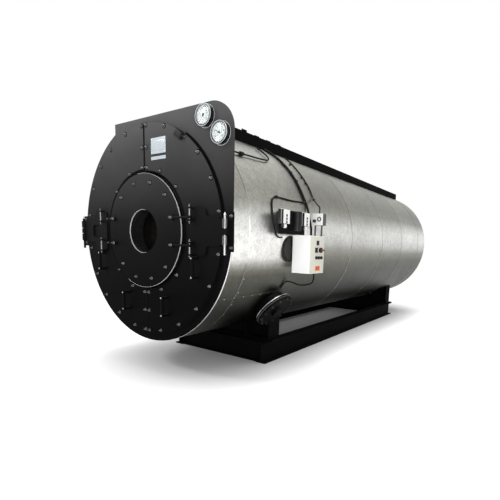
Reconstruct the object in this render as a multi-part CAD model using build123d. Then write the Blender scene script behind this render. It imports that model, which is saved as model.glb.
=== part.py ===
from build123d import *
import math
import os

# Horizontal fire-tube boiler on a steel skid. Lengths in millimetres.
# +Z is up, the boiler axis runs along Y, the burner front faces -Y and the
# instruments are on the +X side. Pieces are drawn with y = 0 at the back of the
# front casing, and written out with the origin on the floor, under the middle of
# the front cross beam.

# Shared clearances
fit_clearance = 0.3
overrun = 40

# Skid of rolled beams
skid_front = 705
skid_rear_inset = 690
rail_height = 176
rail_width = 96
rail_web = 8
rail_flange = 11
rail_x = 502
cross_inset = 12

# Boiler body
shell_radius = 712
shell_thickness = 12
insulation_thickness = 85
belly_clearance = 87
body_length = 4700
rear_space = 300
turn_space = 700
cladding_thickness = 2
cladding_lap = 1.5
cladding_lap_width = 30
front_band_length = 165
front_band_drop = 4
front_sheet_length = 1635
middle_sheet_length = 1675
middle_lap_start = 900
rear_lap_start = 835
tube_plate_front_y = 260
tube_plate_thickness = 20
furnace_radius = 330
furnace_wall = 12
fire_tube_radius = 38
fire_tube_wall = 4
fire_tube_count = 12
fire_tube_inset = 182
fire_tube_stickout = 8
rear_cover_thickness = 3

# Front casing plate with its gauge panel
casing_rim = 3
casing_thickness = 12
panel_flat = 18
panel_left = 367
panel_corner_radius = 185
gauge_radius = 66
gauge_bezel_width = 11
gauge_bezel_depth = 11
gauge_case_depth = 33
gauge_dial_recess = 5
gauge_upper_inset = 220
gauge_upper_drop = 82
gauge_lower_inset = 89
gauge_lower_drop = 199

# Half doors and their linings
door_gap = 5
door_margin = 63
door_thickness = 16
door_overlap = 47
door_ring_width = 326
seam_gap = 12
lining_thickness = 60
lining_outer_gap = 30
lining_inner_gap = 29
lining_seam_gap = 30

# Burner door
burner_door_gap = 13
burner_door_thickness = 40
burner_door_proud = 25
burner_port_radius = 153
quarl_margin = 68
quarl_clearance = 7
quarl_length = 78

# Outer hinges
hinge_inset = 24
hinge_proud = 20
pin_radius = 8
pin_length = 240
pin_drop = 20
knuckle_radius = 16
knuckle_length = 156
lug_height = 38
lug_gap = 5
hinge_base_width = 72
hinge_base_height = 240
hinge_base_thickness = 10
hinge_base_reach = 40

# Door arms
arm_thickness = 16
arm_bore_gap = 47
arm_length = 154
arm_half_wide = 155
arm_half_neck = 88
arm_neck_share = 0.69
arm_corner = 36
arm_root = 28
arm_pocket_width = 104
arm_pocket_height = 96
arm_pocket_depth = 12
arm_pocket_corner = 22
arm_pocket_inset = 66

# Burner door links and their pins
link_pin_inset = 37
link_pin_proud = 42
link_pin_radius = 7
link_pin_length = 90
link_height = 110
link_eye_radius = 14
link_eye_length = 18
link_eye_height = 90
link_rod_radius = 7
link_foot_inset = 76
link_foot_radius = 16
link_lug_length = 12
link_lug_radius = 12
idle_link_gap = 100

# Handles and name plate
handle_bar_radius = 10
handle_length = 125
handle_reach = 45
handle_foot_radius = 14
handle_foot_thickness = 6
handle_upper_inset = 217
handle_upper_drop = 232
handle_lower_x = 220
handle_lower_inset = 217
name_plate_width = 150
name_plate_height = 104
name_plate_thickness = 2
name_plate_x = 150
name_plate_inset = 164
name_strip_height = 22
name_strip_drop = 80

# Saddles
saddle_front_inset = 185
saddle_rear_inset = 90
saddle_width = 160
saddle_plate = 12
saddle_overhang = 4
saddle_rib_x = 250

# Walkway on the crown
walkway_half_width = 350
walkway_plate = 5
walkway_start = 60
walkway_end_inset = 230
walkway_flange = 50
walkway_lug_length = 60
walkway_lug_rise = 5
walkway_end_lug_rise = 14
walkway_lug_start = 540
walkway_lug_pitch = 160
walkway_lug_count = 4

# Side instruments
bracket_stand = 49
bracket_thickness = 4
bracket_start = 412
bracket_length = 352
bracket_low = 13
bracket_high = 180
bracket_rib_inset = 96
switch_base_depth = 24
switch_cover_depth = 20
switch_cover_inset = 3
switch_width = 84
switch_height = 100
switch_rise = 128
switch_left_y = 443
switch_right_y = 722
gland_radius = 12
gland_length = 26
gland_inset = 13
probe_radius = 31
probe_height = 118
probe_cap_radius = 34
probe_cap_height = 16
probe_y = 582
probe_stand = 44

# Control box, its switches and the junction box above it
box_stand = 12
box_reach = 168
box_start = 660
box_end = 880
box_rise = 9
box_height = 281
box_corner = 6
box_foot_height = 141
box_foot_inset = 92
lid_gap = 3
lid_margin = 9
lid_thickness = 4
switch_plate_width = 34
switch_plate_height = 34
switch_plate_depth = 6
switch_plate_drop = 52
isolator_shift = 20
isolator_radius = 17
isolator_plate_width = 112
isolator_plate_height = 38
isolator_plate_depth = 5
isolator_knob_depth = 18
isolator_grip_length = 58
isolator_grip_width = 13
isolator_grip_depth = 10
isolator_drop = 106
button_radius = 12
button_depth = 12
button_pitch = 40
button_drop = 163
junction_depth = 87
junction_width = 62
junction_overhang = 12
junction_stand = 83
junction_height = 88
rod_radius = 7
rod_inset = 12

# Flanged probe head, low behind the edge of the box
head_y = 642
head_drop = 94
head_radius = 97
head_rim_radius = 84
head_rim_height = 5
head_stand = 1.5

# Inspection hatch low on the side
hatch_y = 690
hatch_angle = -42
hatch_neck_radius = 130
hatch_flange_radius = 165
hatch_flange_thickness = 20
hatch_cover_thickness = 18
hatch_boss_radius = 46
hatch_boss_length = 24
hatch_stand = 70

# Flue outlet at the rear
flue_rise = 330
flue_radius = 160
flue_wall = 5
flue_length = 150
flue_flange_radius = 205
flue_flange_thickness = 12
flue_bolt_circle_radius = 185
flue_bolt_radius = 7
flue_bolt_count = 12

# Impulse pipe, in shares of its reach along the boiler, and in degrees round it
gauge_pipe_radius = 6
gauge_pipe_reach = 700
fitting_radius = 13
fitting_length = 34
gauge_pipe_route_shares = [
    (0.003, 41.3), (0.17, 41.4), (0.34, 41.7), (0.51, 42.3), (0.68, 42.7), (0.81, 43.3),
    (0.9, 44.2), (0.965, 46.3), (0.985, 49.5), (0.97, 53), (0.95, 56.5),
]
gauge_pipe_fitting_share = 0.4

# Cables clipped to the cladding: place along the boiler and degrees round it
cable_lift = 1.2
cable_end_lift = 0.5
cable_lead = 60
cable_arc_share = 0.45
main_cable_radius = 9
main_cable_route = [
    (852, 62), (868, 58), (880, 53.8), (888, 49.4), (893, 44.8), (897, 40), (900, 35.2), (903, 30.4),
    (908, 25.6), (918, 21), (930, 17),
]
thin_cable_radius = 5
sensor_cable_route = [
    (1162, 61.8), (1135, 57.6), (1112, 53.2), (1096, 48.6), (1088, 43.9), (1087, 39), (1090, 34.2),
    (1092, 29.4), (1084, 24.8),
]
sensor_hang_shares = [(0.34, 0.8), (0.68, 1)]
sensor_hang = 9
sensor_lead = 52
sensor_entry_inset = 43
side_cable_route = [
    (880, 20.2), (790, 19.8), (695, 19.6), (600, 19.9), (520, 20), (466, 19.2), (436, 16.6),
    (423, 12.8), (419, 8.8), (424, 4.9), (438, 1.8), (464, -0.3), (497, -1.1), (530, -0.7),
]
under_cable_radius = 6
under_cable_lead = 80
under_cable_inset = 32
under_cable_shift = 20
under_cable_route = [
    (790, -24.9, 108), (758, -25.3, 28), (706, -25.4, 7.6), (686, -30, 7.6),
]

# Radii and levels worked out from the sizes above
cladding_radius = shell_radius + insulation_thickness
axis_height = rail_height + belly_clearance + cladding_radius
rear_inner = cladding_radius - cladding_thickness
shell_end = body_length - rear_space
furnace_end = shell_end - turn_space
casing_radius = cladding_radius + casing_rim
panel_top = casing_radius - panel_flat
door_radius = casing_radius - door_margin
smokebox_opening_radius = door_radius - door_overlap
lining_outer_radius = smokebox_opening_radius - lining_outer_gap
door_bore_radius = door_radius - door_ring_width
burner_door_radius = door_bore_radius - burner_door_gap
lining_inner_radius = door_bore_radius + lining_inner_gap
quarl_radius = burner_door_radius - quarl_margin
fire_tube_circle_radius = shell_radius - fire_tube_inset
skid_rear = body_length - skid_rear_inset
hinge_x = casing_radius - hinge_inset
arm_inner_x = door_bore_radius + arm_bore_gap
arm_wide_end = arm_inner_x + arm_length
arm_neck_end = arm_wide_end + arm_neck_share * (hinge_x - arm_wide_end)
link_pin_x = arm_inner_x + link_pin_inset
link_foot_x = burner_door_radius - link_foot_inset
walkway_rise = cladding_radius + cladding_lap + fit_clearance + walkway_plate
walkway_end = body_length - walkway_end_inset
box_inner_x = cladding_radius + box_stand
box_outer_x = cladding_radius + box_reach
box_bottom = box_rise - box_height

# Levels of the layered front, from the casing plate towards the viewer
casing_front = -casing_thickness
door_back = casing_front - door_gap
door_front = door_back - door_thickness
burner_door_front = door_front - burner_door_proud
burner_door_back = burner_door_front + burner_door_thickness
hinge_y = door_front - hinge_proud
arm_front = door_front - arm_thickness
link_pin_y = door_front - link_pin_proud


def face_plane(y):
    """A plane across the boiler at y: local x is +X, local y is up from the axis."""
    return Plane((0, y, axis_height), x_dir=(1, 0, 0), z_dir=(0, -1, 0))


def across(sketch, y_back, depth):
    """Extrude a front-view sketch from y_back towards the front."""
    return extrude(face_plane(y_back) * sketch, depth)


def ring(outer, inner):
    return Circle(outer) - Circle(inner)


def upright(x, y, z, radius, length):
    """An upright cylinder, centred on the given point."""
    return Pos(x, y, z) * Cylinder(radius, length)


def side_box(x0, x1, y0, y1, z0, z1):
    """A box between two x, two y and two heights above the axis."""
    return Pos((x0 + x1) / 2, (y0 + y1) / 2, axis_height + (z0 + z1) / 2) * Box(
        x1 - x0, y1 - y0, z1 - z0
    )


def both_sides(solid):
    return [solid, mirror(solid, about=Plane.YZ)]


def on_side(solid, side):
    """The solid as drawn for the +X side, or its mirror image for the other side."""
    return solid if side > 0 else mirror(solid, about=Plane.YZ)


def half_plane(side, gap):
    """A tall rectangle that covers one side of the door seam."""
    size = casing_radius + overrun
    return Pos(side * (gap / 2 + size / 2), 0) * Rectangle(size, 2 * size)


parts = {}

# Cladding: a narrow front band and three long sheets, with a raised lap at every seam.
sheet_lengths = {
    "cladding_front_band": front_band_length,
    "cladding_front": front_sheet_length,
    "cladding_middle": middle_sheet_length,
}
sheet_lengths["cladding_rear"] = body_length - sum(sheet_lengths.values())
lap_starts = {
    "cladding_front_band": [],
    "cladding_front": [0],
    "cladding_middle": [0, middle_lap_start],
    "cladding_rear": [0, rear_lap_start],
}
sheet_start = 0
for name, length in sheet_lengths.items():
    sheet = across(ring(cladding_radius, rear_inner), sheet_start + length, length)
    for lap_start in lap_starts[name]:
        sheet += across(
            ring(cladding_radius + cladding_lap, rear_inner),
            sheet_start + lap_start + cladding_lap_width,
            cladding_lap_width,
        )
    parts[name] = sheet
    sheet_start += length

# The front band is cut flat on top, to stay under the flat top of the casing.
band_top = panel_top - front_band_drop


def below(level):
    """A wide rectangle that covers everything under a level, counted from the axis."""
    return Pos(0, (level - casing_radius) / 2) * Rectangle(2 * casing_radius, level + casing_radius)


band_skin = (Circle(cladding_radius) & below(band_top)) - (
    Circle(rear_inner) & below(band_top - cladding_thickness)
)
band_end = Circle(cladding_radius) - below(band_top - cladding_thickness)
parts["cladding_front_band"] = across(
    band_skin, front_band_length, front_band_length
) + across(band_end, front_band_length, cladding_thickness)

# Front casing: a disc cut flat at the top and squared out to the gauge panel.
disc = Circle(casing_radius) & (
    Pos(0, -panel_flat / 2) * Rectangle(2 * casing_radius, panel_top + casing_radius)
)
panel = Pos((casing_radius - panel_left) / 2, panel_top / 2) * Rectangle(
    casing_radius + panel_left, panel_top
)
panel = fillet(panel.vertices().sort_by(Axis.X)[-2:].sort_by(Axis.Y)[-1], panel_corner_radius)
parts["front_casing"] = across(
    disc + panel - Circle(smokebox_opening_radius), 0, casing_thickness
)

# Pressure shell with its tube plates, furnace and fire tubes.
parts["boiler_shell"] = across(
    ring(shell_radius, shell_radius - shell_thickness), shell_end, shell_end
)
tube_places = PolarLocations(
    fire_tube_circle_radius, fire_tube_count, start_angle=180 / fire_tube_count
)
plate_radius = shell_radius - shell_thickness - fit_clearance
tube_plate = Circle(plate_radius) - tube_places * Circle(fire_tube_radius + fit_clearance)
parts["tube_plate_front"] = across(
    tube_plate - Circle(furnace_radius + fit_clearance),
    tube_plate_front_y + tube_plate_thickness,
    tube_plate_thickness,
)
parts["tube_plate_rear"] = across(tube_plate, shell_end, tube_plate_thickness)
furnace_length = furnace_end - tube_plate_front_y
parts["furnace_tube"] = across(Circle(furnace_radius), furnace_end, furnace_length) - across(
    Circle(furnace_radius - furnace_wall), furnace_end - furnace_wall, furnace_length
)
tubes_end = shell_end + fire_tube_stickout
parts["fire_tubes"] = across(
    Sketch() + tube_places * ring(fire_tube_radius, fire_tube_radius - fire_tube_wall),
    tubes_end,
    tubes_end - (tube_plate_front_y - fire_tube_stickout),
)

# Rear cover with the flue outlet through it.
flue_place = Pos(0, flue_rise)
parts["rear_cover"] = across(
    Circle(rear_inner - fit_clearance) - flue_place * Circle(flue_radius + fit_clearance),
    body_length,
    rear_cover_thickness,
)
flue_end = body_length + flue_length
flue_bore = flue_radius - flue_wall
flue_bolts = PolarLocations(flue_bolt_circle_radius, flue_bolt_count) * Circle(flue_bolt_radius)
parts["flue_outlet"] = across(
    flue_place * ring(flue_radius, flue_bore), flue_end, flue_end - tubes_end - overrun
) + across(
    flue_place * (ring(flue_flange_radius, flue_bore) - flue_bolts),
    flue_end,
    flue_flange_thickness,
)


# Half doors: plate, lining, arm with its pins, and two bow handles each.
def arm_outline():
    """The flat arm: a wide rounded inner end, a neck, and a tail to the knuckle."""
    middle = arm_inner_x + arm_length / 2
    wide = Rectangle(arm_length, 2 * arm_half_wide)
    wide = Pos(middle, 0) * fillet(wide.vertices(), arm_corner)
    neck = Pos((middle + arm_neck_end) / 2, 0) * Rectangle(arm_neck_end - middle, 2 * arm_half_neck)
    tail = Pos((middle + hinge_x) / 2, 0) * Rectangle(hinge_x - middle, knuckle_length)
    outline = wide + neck + tail
    roots = [
        v for v in outline.vertices()
        if abs(v.X - arm_wide_end) < fit_clearance and abs(abs(v.Y) - arm_half_neck) < fit_clearance
    ]
    return fillet(roots, arm_root)


def pin_lug(z):
    """A round lug on a web that stands on the arm and holds one end of a link pin."""
    web_depth = arm_front - link_pin_y
    lug = upright(link_pin_x, link_pin_y, z, link_lug_radius, link_lug_length)
    return lug + Pos(link_pin_x, link_pin_y + web_depth / 2, z) * Box(
        2 * link_lug_radius, web_depth, link_lug_length
    )


def door_arm():
    arm = across(arm_outline(), door_front, arm_thickness)
    arm += upright(hinge_x, hinge_y, axis_height, knuckle_radius, knuckle_length)
    notch = 2 * (knuckle_radius + lug_gap)
    arm -= Pos(hinge_x, hinge_y, axis_height) * Box(notch, 2 * notch, lug_height + 2 * lug_gap)
    arm -= upright(
        hinge_x, hinge_y, axis_height, pin_radius + fit_clearance, knuckle_length + overrun
    )
    lug_offset = (link_pin_length - link_lug_length) / 2
    for level in (axis_height - link_height, axis_height + link_height):
        arm += pin_lug(level - lug_offset) + pin_lug(level + lug_offset)
        arm -= upright(
            link_pin_x, link_pin_y, level, link_pin_radius + fit_clearance, link_pin_length + overrun
        )
    return arm


def arm_pocket():
    """The sunk square in the arm on the latch side of the burner door."""
    outline = fillet(
        Rectangle(arm_pocket_width, arm_pocket_height).vertices(), arm_pocket_corner
    )
    place = Pos(arm_wide_end - arm_pocket_inset + arm_pocket_width / 2, 0)
    return across(place * outline, arm_front + arm_pocket_depth, arm_pocket_depth + overrun)


def standing(x, z, radius, length):
    """A round bar that stands out from the half door towards the viewer."""
    return extrude(
        Plane((x, door_front, z), x_dir=(1, 0, 0), z_dir=(0, -1, 0)) * Circle(radius), length
    )


def handle(x, z):
    """A bow handle on two round feet."""
    solid = upright(x, door_front - handle_reach, z, handle_bar_radius,
                    handle_length + 2 * handle_bar_radius)
    for level in (z - handle_length / 2, z + handle_length / 2):
        solid += standing(x, level, handle_bar_radius, handle_reach)
        solid += standing(x, level, handle_foot_radius, handle_foot_thickness)
    return solid


def hinge_base():
    """The fixed half of the outer hinge: a plate with a lug in the middle, bored for the pin."""
    base = Pos(
        hinge_x + hinge_base_reach - hinge_base_width / 2,
        casing_front - hinge_base_thickness / 2,
        axis_height,
    ) * Box(hinge_base_width, hinge_base_thickness, hinge_base_height)
    depth = casing_front - hinge_y
    base += upright(hinge_x, hinge_y, axis_height, knuckle_radius, lug_height)
    base += Pos(hinge_x, hinge_y + depth / 2, axis_height) * Box(
        2 * knuckle_radius, depth, lug_height
    )
    return base - upright(
        hinge_x, hinge_y, axis_height, pin_radius + fit_clearance, pin_length + overrun
    )


for side, word in ((-1, "left"), (1, "right")):
    parts["door_" + word] = across(
        ring(door_radius, door_bore_radius) & half_plane(side, seam_gap), door_back, door_thickness
    )
    parts["door_lining_" + word] = across(
        ring(lining_outer_radius, lining_inner_radius) & half_plane(side, lining_seam_gap),
        door_back + lining_thickness,
        lining_thickness,
    )
    arm = door_arm() if side > 0 else door_arm() - arm_pocket()
    link_pins = [
        upright(link_pin_x, link_pin_y, level, link_pin_radius, link_pin_length)
        for level in (axis_height - link_height, axis_height + link_height)
    ]
    parts["hinge_arm_" + word] = Compound(
        children=[on_side(solid, side) for solid in (arm, *link_pins)]
    )
    parts["handles_" + word] = Compound(children=[
        handle(side * (door_radius - handle_upper_inset), axis_height - handle_upper_drop),
        handle(side * handle_lower_x, axis_height - door_radius + handle_lower_inset),
    ])
    hinge_pin = upright(hinge_x, hinge_y, axis_height - pin_drop, pin_radius, pin_length)
    parts["hinge_bracket_" + word] = Compound(
        children=[on_side(hinge_base(), side), on_side(hinge_pin, side)]
    )

# Burner door, its lining, and the links to the pins.
parts["burner_door"] = across(
    ring(burner_door_radius, burner_port_radius), burner_door_back, burner_door_thickness
)
parts["burner_lining"] = across(
    ring(quarl_radius, burner_port_radius + quarl_clearance),
    burner_door_back + quarl_length,
    quarl_length,
)
foot_length = burner_door_front - link_pin_y + link_rod_radius
links = []
for z in (axis_height - link_eye_height, axis_height + link_eye_height):
    foot = extrude(
        Plane((link_foot_x, burner_door_front, z), x_dir=(1, 0, 0), z_dir=(0, -1, 0))
        * Circle(link_foot_radius),
        foot_length,
    )
    rod_plane = Plane((link_foot_x, link_pin_y, z), x_dir=(0, 1, 0), z_dir=(1, 0, 0))
    rod = Circle(link_rod_radius)
    eye = upright(link_pin_x, link_pin_y, z, link_eye_radius, link_eye_length)
    bore = upright(
        link_pin_x, link_pin_y, z, link_pin_radius + fit_clearance, link_eye_length + overrun
    )
    links.append(foot + extrude(rod_plane * rod, link_pin_x - link_foot_x) + eye - bore)
    # The idle link on the latch side ends short of its pin.
    idle = foot + extrude(rod_plane * rod, link_pin_x - idle_link_gap - link_foot_x)
    links.append(on_side(idle, -1))
parts["burner_door_links"] = Compound(children=links)


# Gauges: a case with a raised bezel and a sunk dial.
def gauge(inset, drop):
    place = Pos(casing_radius - inset, panel_top - drop)
    bezel_front = casing_front - gauge_case_depth
    body = across(place * Circle(gauge_radius - gauge_bezel_width / 2), casing_front, gauge_case_depth)
    body += across(place * Circle(gauge_radius), bezel_front + gauge_bezel_depth, gauge_bezel_depth)
    return body - across(
        place * Circle(gauge_radius - gauge_bezel_width),
        bezel_front + gauge_dial_recess,
        gauge_dial_recess + overrun,
    )


parts["pressure_gauges"] = Compound(children=[
    gauge(gauge_upper_inset, gauge_upper_drop),
    gauge(gauge_lower_inset, gauge_lower_drop),
])
plate_place = Pos(name_plate_x, door_radius - name_plate_inset)
strip_place = Pos(name_plate_x, door_radius - name_plate_inset - name_strip_drop)
parts["name_plate"] = Compound(children=[
    across(plate_place * Rectangle(name_plate_width, name_plate_height), door_front,
           name_plate_thickness),
    across(strip_place * Rectangle(name_plate_width, name_strip_height), door_front,
           name_plate_thickness),
])


# Skid of rolled beams: two rails and two cross beams.
def beam_profile():
    flange = Rectangle(rail_width, rail_flange)
    offset = (rail_height - rail_flange) / 2
    return Rectangle(rail_web, rail_height) + Pos(0, offset) * flange + Pos(0, -offset) * flange


rail_plane = Plane((rail_x, skid_rear, rail_height / 2), x_dir=(1, 0, 0), z_dir=(0, -1, 0))
rail = extrude(rail_plane * beam_profile(), skid_rear - skid_front)
parts["skid_rails"] = Compound(children=both_sides(rail))
cross_half = rail_x - rail_width / 2 - fit_clearance
web_half = rail_x - rail_web / 2 - fit_clearance
cross_web_height = rail_height - 2 * rail_flange - 2 * fit_clearance
front_cross_y = skid_front + cross_inset + rail_width / 2
rear_cross_y = skid_rear - cross_inset - rail_width / 2
cross_beams = []
for y in (front_cross_y, rear_cross_y):
    cross_plane = Plane((-cross_half, y, rail_height / 2), x_dir=(0, 1, 0), z_dir=(1, 0, 0))
    beam = extrude(cross_plane * beam_profile(), 2 * cross_half)
    beam += Pos(0, y, rail_height / 2) * Box(2 * web_half, rail_web, cross_web_height)
    cross_beams.append(beam)
parts["skid_cross_beams"] = Compound(children=cross_beams)

# Saddles: a web cut to the round of the cladding, with end plates, ribs and a foot plate.
seat_cylinder = across(
    Circle(cladding_radius + fit_clearance), body_length + overrun, body_length + 2 * overrun
)
saddle_half_span = rail_x + saddle_overhang
web_low = rail_height + fit_clearance + saddle_plate
web_height = axis_height - web_low
end_plate_x = saddle_half_span - saddle_plate / 2
for y, word in ((skid_front + saddle_front_inset, "front"), (skid_rear - saddle_rear_inset, "rear")):
    saddle = Pos(0, y, web_low - saddle_plate / 2) * Box(
        2 * rail_x + rail_width, saddle_width, saddle_plate
    )
    saddle += Pos(0, y, web_low + web_height / 2) * Box(2 * saddle_half_span, saddle_plate, web_height)
    for x in (-end_plate_x, -saddle_rib_x, saddle_rib_x, end_plate_x):
        saddle += Pos(x, y, web_low + web_height / 2) * Box(saddle_plate, saddle_width, web_height)
    saddle -= seat_cylinder
    parts["saddle_" + word] = saddle.solids().sort_by(Axis.Z)[0]

# Walkway: a deck plate over the crown between two edge angles seated on the cladding laps.
walkway_length = walkway_end - walkway_start
deck_half = walkway_half_width - walkway_plate - fit_clearance
parts["walkway_deck"] = across(
    Pos(0, walkway_rise - walkway_plate / 2) * Rectangle(2 * deck_half, walkway_plate),
    walkway_end,
    walkway_length,
)
edge_outline = Pos(walkway_half_width - walkway_plate / 2, walkway_rise / 2) * Rectangle(
    walkway_plate, walkway_rise
)
edge_outline += Pos(
    walkway_half_width - walkway_flange / 2,
    walkway_rise - walkway_plate - fit_clearance - walkway_plate / 2,
) * Rectangle(walkway_flange, walkway_plate)
edge_outline -= Circle(cladding_radius + cladding_lap + fit_clearance)
edge = across(edge_outline, walkway_end, walkway_length)
for i in range(walkway_lug_count):
    rise = walkway_lug_rise if i else walkway_end_lug_rise
    lug_end = walkway_start + walkway_lug_start + i * walkway_lug_pitch + walkway_lug_length
    lug_height_place = Pos(walkway_half_width - walkway_plate / 2, walkway_rise + rise / 2)
    edge += across(lug_height_place * Rectangle(walkway_plate, rise), lug_end, walkway_lug_length)
parts["walkway_edges"] = Compound(children=both_sides(edge))

# Instrument bracket on the side, with two pressure switches and a level probe.
bracket_x = cladding_radius + bracket_stand
bracket_outer = bracket_x + bracket_thickness
bracket_end = bracket_start + bracket_length
bracket = side_box(bracket_x, bracket_outer, bracket_start, bracket_end, bracket_low, bracket_high)
for y in (bracket_start + bracket_rib_inset, bracket_end - bracket_rib_inset):
    bracket += side_box(
        shell_radius, bracket_outer, y, y + bracket_thickness, bracket_low, bracket_high
    )
bracket -= seat_cylinder
parts["instrument_bracket"] = bracket.solids().sort_by(Axis.X)[-1]


def pressure_switch(y):
    """A dark base with a proud cover, and a cable gland under its near corner."""
    seat = bracket_outer + fit_clearance
    cover_seat = seat + switch_base_depth
    half = switch_width / 2
    low = switch_rise - switch_height / 2
    high = switch_rise + switch_height / 2
    base = side_box(seat, cover_seat, y - half, y + half, low, high)
    base = fillet(base.edges().filter_by(Axis.X), switch_cover_inset)
    cover = side_box(
        cover_seat, cover_seat + switch_cover_depth,
        y - half + switch_cover_inset, y + half - switch_cover_inset,
        low + switch_cover_inset, high - switch_cover_inset,
    )
    cover = fillet(cover.edges().filter_by(Axis.X), switch_cover_inset)
    gland = upright(
        cover_seat + switch_cover_depth - gland_inset, y - half + gland_inset + switch_cover_inset,
        axis_height + low + switch_cover_inset - gland_length / 2,
        gland_radius, gland_length,
    )
    return base + cover + gland


parts["pressure_switches"] = Compound(
    children=[pressure_switch(y) for y in (switch_left_y, switch_right_y)]
)
probe_x = bracket_outer + fit_clearance + probe_stand
probe_middle = (bracket_low + bracket_high) / 2
probe = upright(probe_x, probe_y, axis_height + probe_middle, probe_radius, probe_height)
probe += upright(
    probe_x, probe_y, axis_height + probe_middle + (probe_height + probe_cap_height) / 2,
    probe_cap_radius, probe_cap_height,
)
probe += side_box(
    bracket_outer + fit_clearance, probe_x,
    probe_y - probe_radius / 2, probe_y + probe_radius / 2,
    probe_middle - probe_radius / 2, probe_middle + probe_radius / 2,
)
parts["level_probe"] = probe

# Control box on the cladding with a raised lid, and the junction box on two rods above it.
box_face = box_outer_x - lid_thickness
box = side_box(box_inner_x, box_face - lid_gap, box_start, box_end, box_bottom, box_rise)
box = fillet(box.edges().filter_by(Axis.Z), box_corner)
core = side_box(
    box_face - lid_gap, box_face, box_start + lid_margin, box_end - lid_margin,
    box_bottom + lid_margin, box_rise - lid_margin,
)
lid = side_box(box_face, box_outer_x, box_start, box_end, box_bottom, box_rise)
foot_middle = box_bottom + box_height / 2
feet = side_box(
    shell_radius, box_inner_x + box_corner, box_start + box_foot_inset, box_end - box_corner,
    foot_middle - box_foot_height / 2, foot_middle + box_foot_height / 2,
)
box_with_feet = box + core + lid + feet - seat_cylinder
parts["control_box"] = box_with_feet.solids().sort_by(Axis.X)[-1]

# On the lid: a rocker plate, a rotary isolator with its grip, and a row of buttons.
control_y = (box_start + box_end) / 2
controls_x = box_outer_x + fit_clearance


def on_lid(sketch, y, drop, depth, stand=0):
    """Extrude a sketch out from the lid, at a place along it and a drop below its top."""
    plane = Plane(
        (controls_x + stand, y, axis_height + box_rise - drop), x_dir=(0, 1, 0), z_dir=(1, 0, 0)
    )
    return extrude(plane * sketch, depth)


rocker = on_lid(
    Rectangle(switch_plate_width, switch_plate_height), control_y, switch_plate_drop,
    switch_plate_depth,
)
isolator_y = control_y + isolator_shift
isolator = on_lid(
    Rectangle(isolator_plate_width, isolator_plate_height), isolator_y, isolator_drop,
    isolator_plate_depth,
)
isolator += on_lid(Circle(isolator_radius), isolator_y, isolator_drop, isolator_knob_depth)
isolator += on_lid(
    Rectangle(isolator_grip_length, isolator_grip_width), isolator_y, isolator_drop,
    isolator_grip_depth, isolator_knob_depth,
)
buttons = [
    on_lid(Circle(button_radius), isolator_y + place * button_pitch, button_drop, button_depth)
    for place in (-1, 0, 1)
]
parts["box_controls"] = Compound(children=[rocker, isolator, *buttons])

junction_inner_x = box_outer_x - junction_depth
junction_bottom = box_rise + junction_stand
junction_top = junction_bottom + junction_height
junction_end = box_end + junction_overhang
junction_middle_y = junction_end - junction_width / 2
junction_box = side_box(
    junction_inner_x, box_outer_x, junction_end - junction_width, junction_end,
    junction_bottom, junction_top,
)
rods = [
    upright(
        x, junction_middle_y, axis_height + (box_rise + junction_bottom) / 2,
        rod_radius, junction_stand - 2 * fit_clearance,
    )
    for x in (junction_inner_x + rod_inset, box_face - lid_gap - rod_inset)
]
parts["junction_box"] = Compound(children=[junction_box, *rods])

# Flanged probe head: a low round drum on the cladding with a raised middle, facing +X.
head_seat = Plane(
    (shell_radius, head_y, axis_height - head_drop), x_dir=(0, 1, 0), z_dir=(1, 0, 0)
)
head_reach = insulation_thickness + head_stand
drum = extrude(head_seat * Circle(head_radius), head_reach) - seat_cylinder
parts["probe_head"] = drum.solids().sort_by(Axis.X)[-1] + extrude(
    head_seat.offset(head_reach) * Circle(head_rim_radius), head_rim_height
)

# Inspection hatch: neck and flange on a radial axis, with its cover.
angle = math.radians(hatch_angle)
radial = (math.cos(angle), 0, math.sin(angle))


def hatch_plane(distance):
    return Plane(
        (distance * radial[0], hatch_y, axis_height + distance * radial[2]),
        x_dir=(0, 1, 0),
        z_dir=radial,
    )


hatch_top = cladding_radius + hatch_stand
hatch_neck = extrude(
    hatch_plane(shell_radius) * Circle(hatch_neck_radius), hatch_top - shell_radius
) - seat_cylinder
hatch_neck = hatch_neck.solids().sort_by(Axis.X)[-1] + extrude(
    hatch_plane(hatch_top - hatch_flange_thickness) * Circle(hatch_flange_radius),
    hatch_flange_thickness,
)
parts["hatch_neck"] = hatch_neck
cover_seat = hatch_top + fit_clearance
parts["hatch_cover"] = extrude(
    hatch_plane(cover_seat) * Circle(hatch_flange_radius), hatch_cover_thickness
) + extrude(
    hatch_plane(cover_seat + hatch_cover_thickness) * Circle(hatch_boss_radius), hatch_boss_length
)


# Impulse pipe and cables, run on the cladding or hanging between the boxes.
def on_cladding(y, degrees, lift):
    """A point over the cladding: its place along the boiler and round it, and its lift."""
    around = math.radians(degrees)
    reach = cladding_radius + lift
    return (reach * math.cos(around), y, axis_height + reach * math.sin(around))


def run_of(points, radius):
    """A round run: straight stretches joined by arcs as large as the stretches allow."""
    places = [Vector(*point) for point in points]
    arcs = []
    for before, corner, after in zip(places, places[1:], places[2:]):
        turn = math.radians((corner - before).get_angle(after - corner))
        shorter = min((corner - before).length, (after - corner).length)
        arcs.append(cable_arc_share * shorter / math.tan(turn / 2))
    path = FilletPolyline(*places, radius=arcs)
    tube = sweep(Plane(origin=path @ 0, z_dir=path % 0) * Circle(radius), path=path)
    expected = math.pi * radius**2 * path.length
    print("run of radius", radius, "length", round(path.length), "tightest arc", round(min(arcs)),
          "volume share", round(tube.volume / expected, 4))
    return tube


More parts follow.
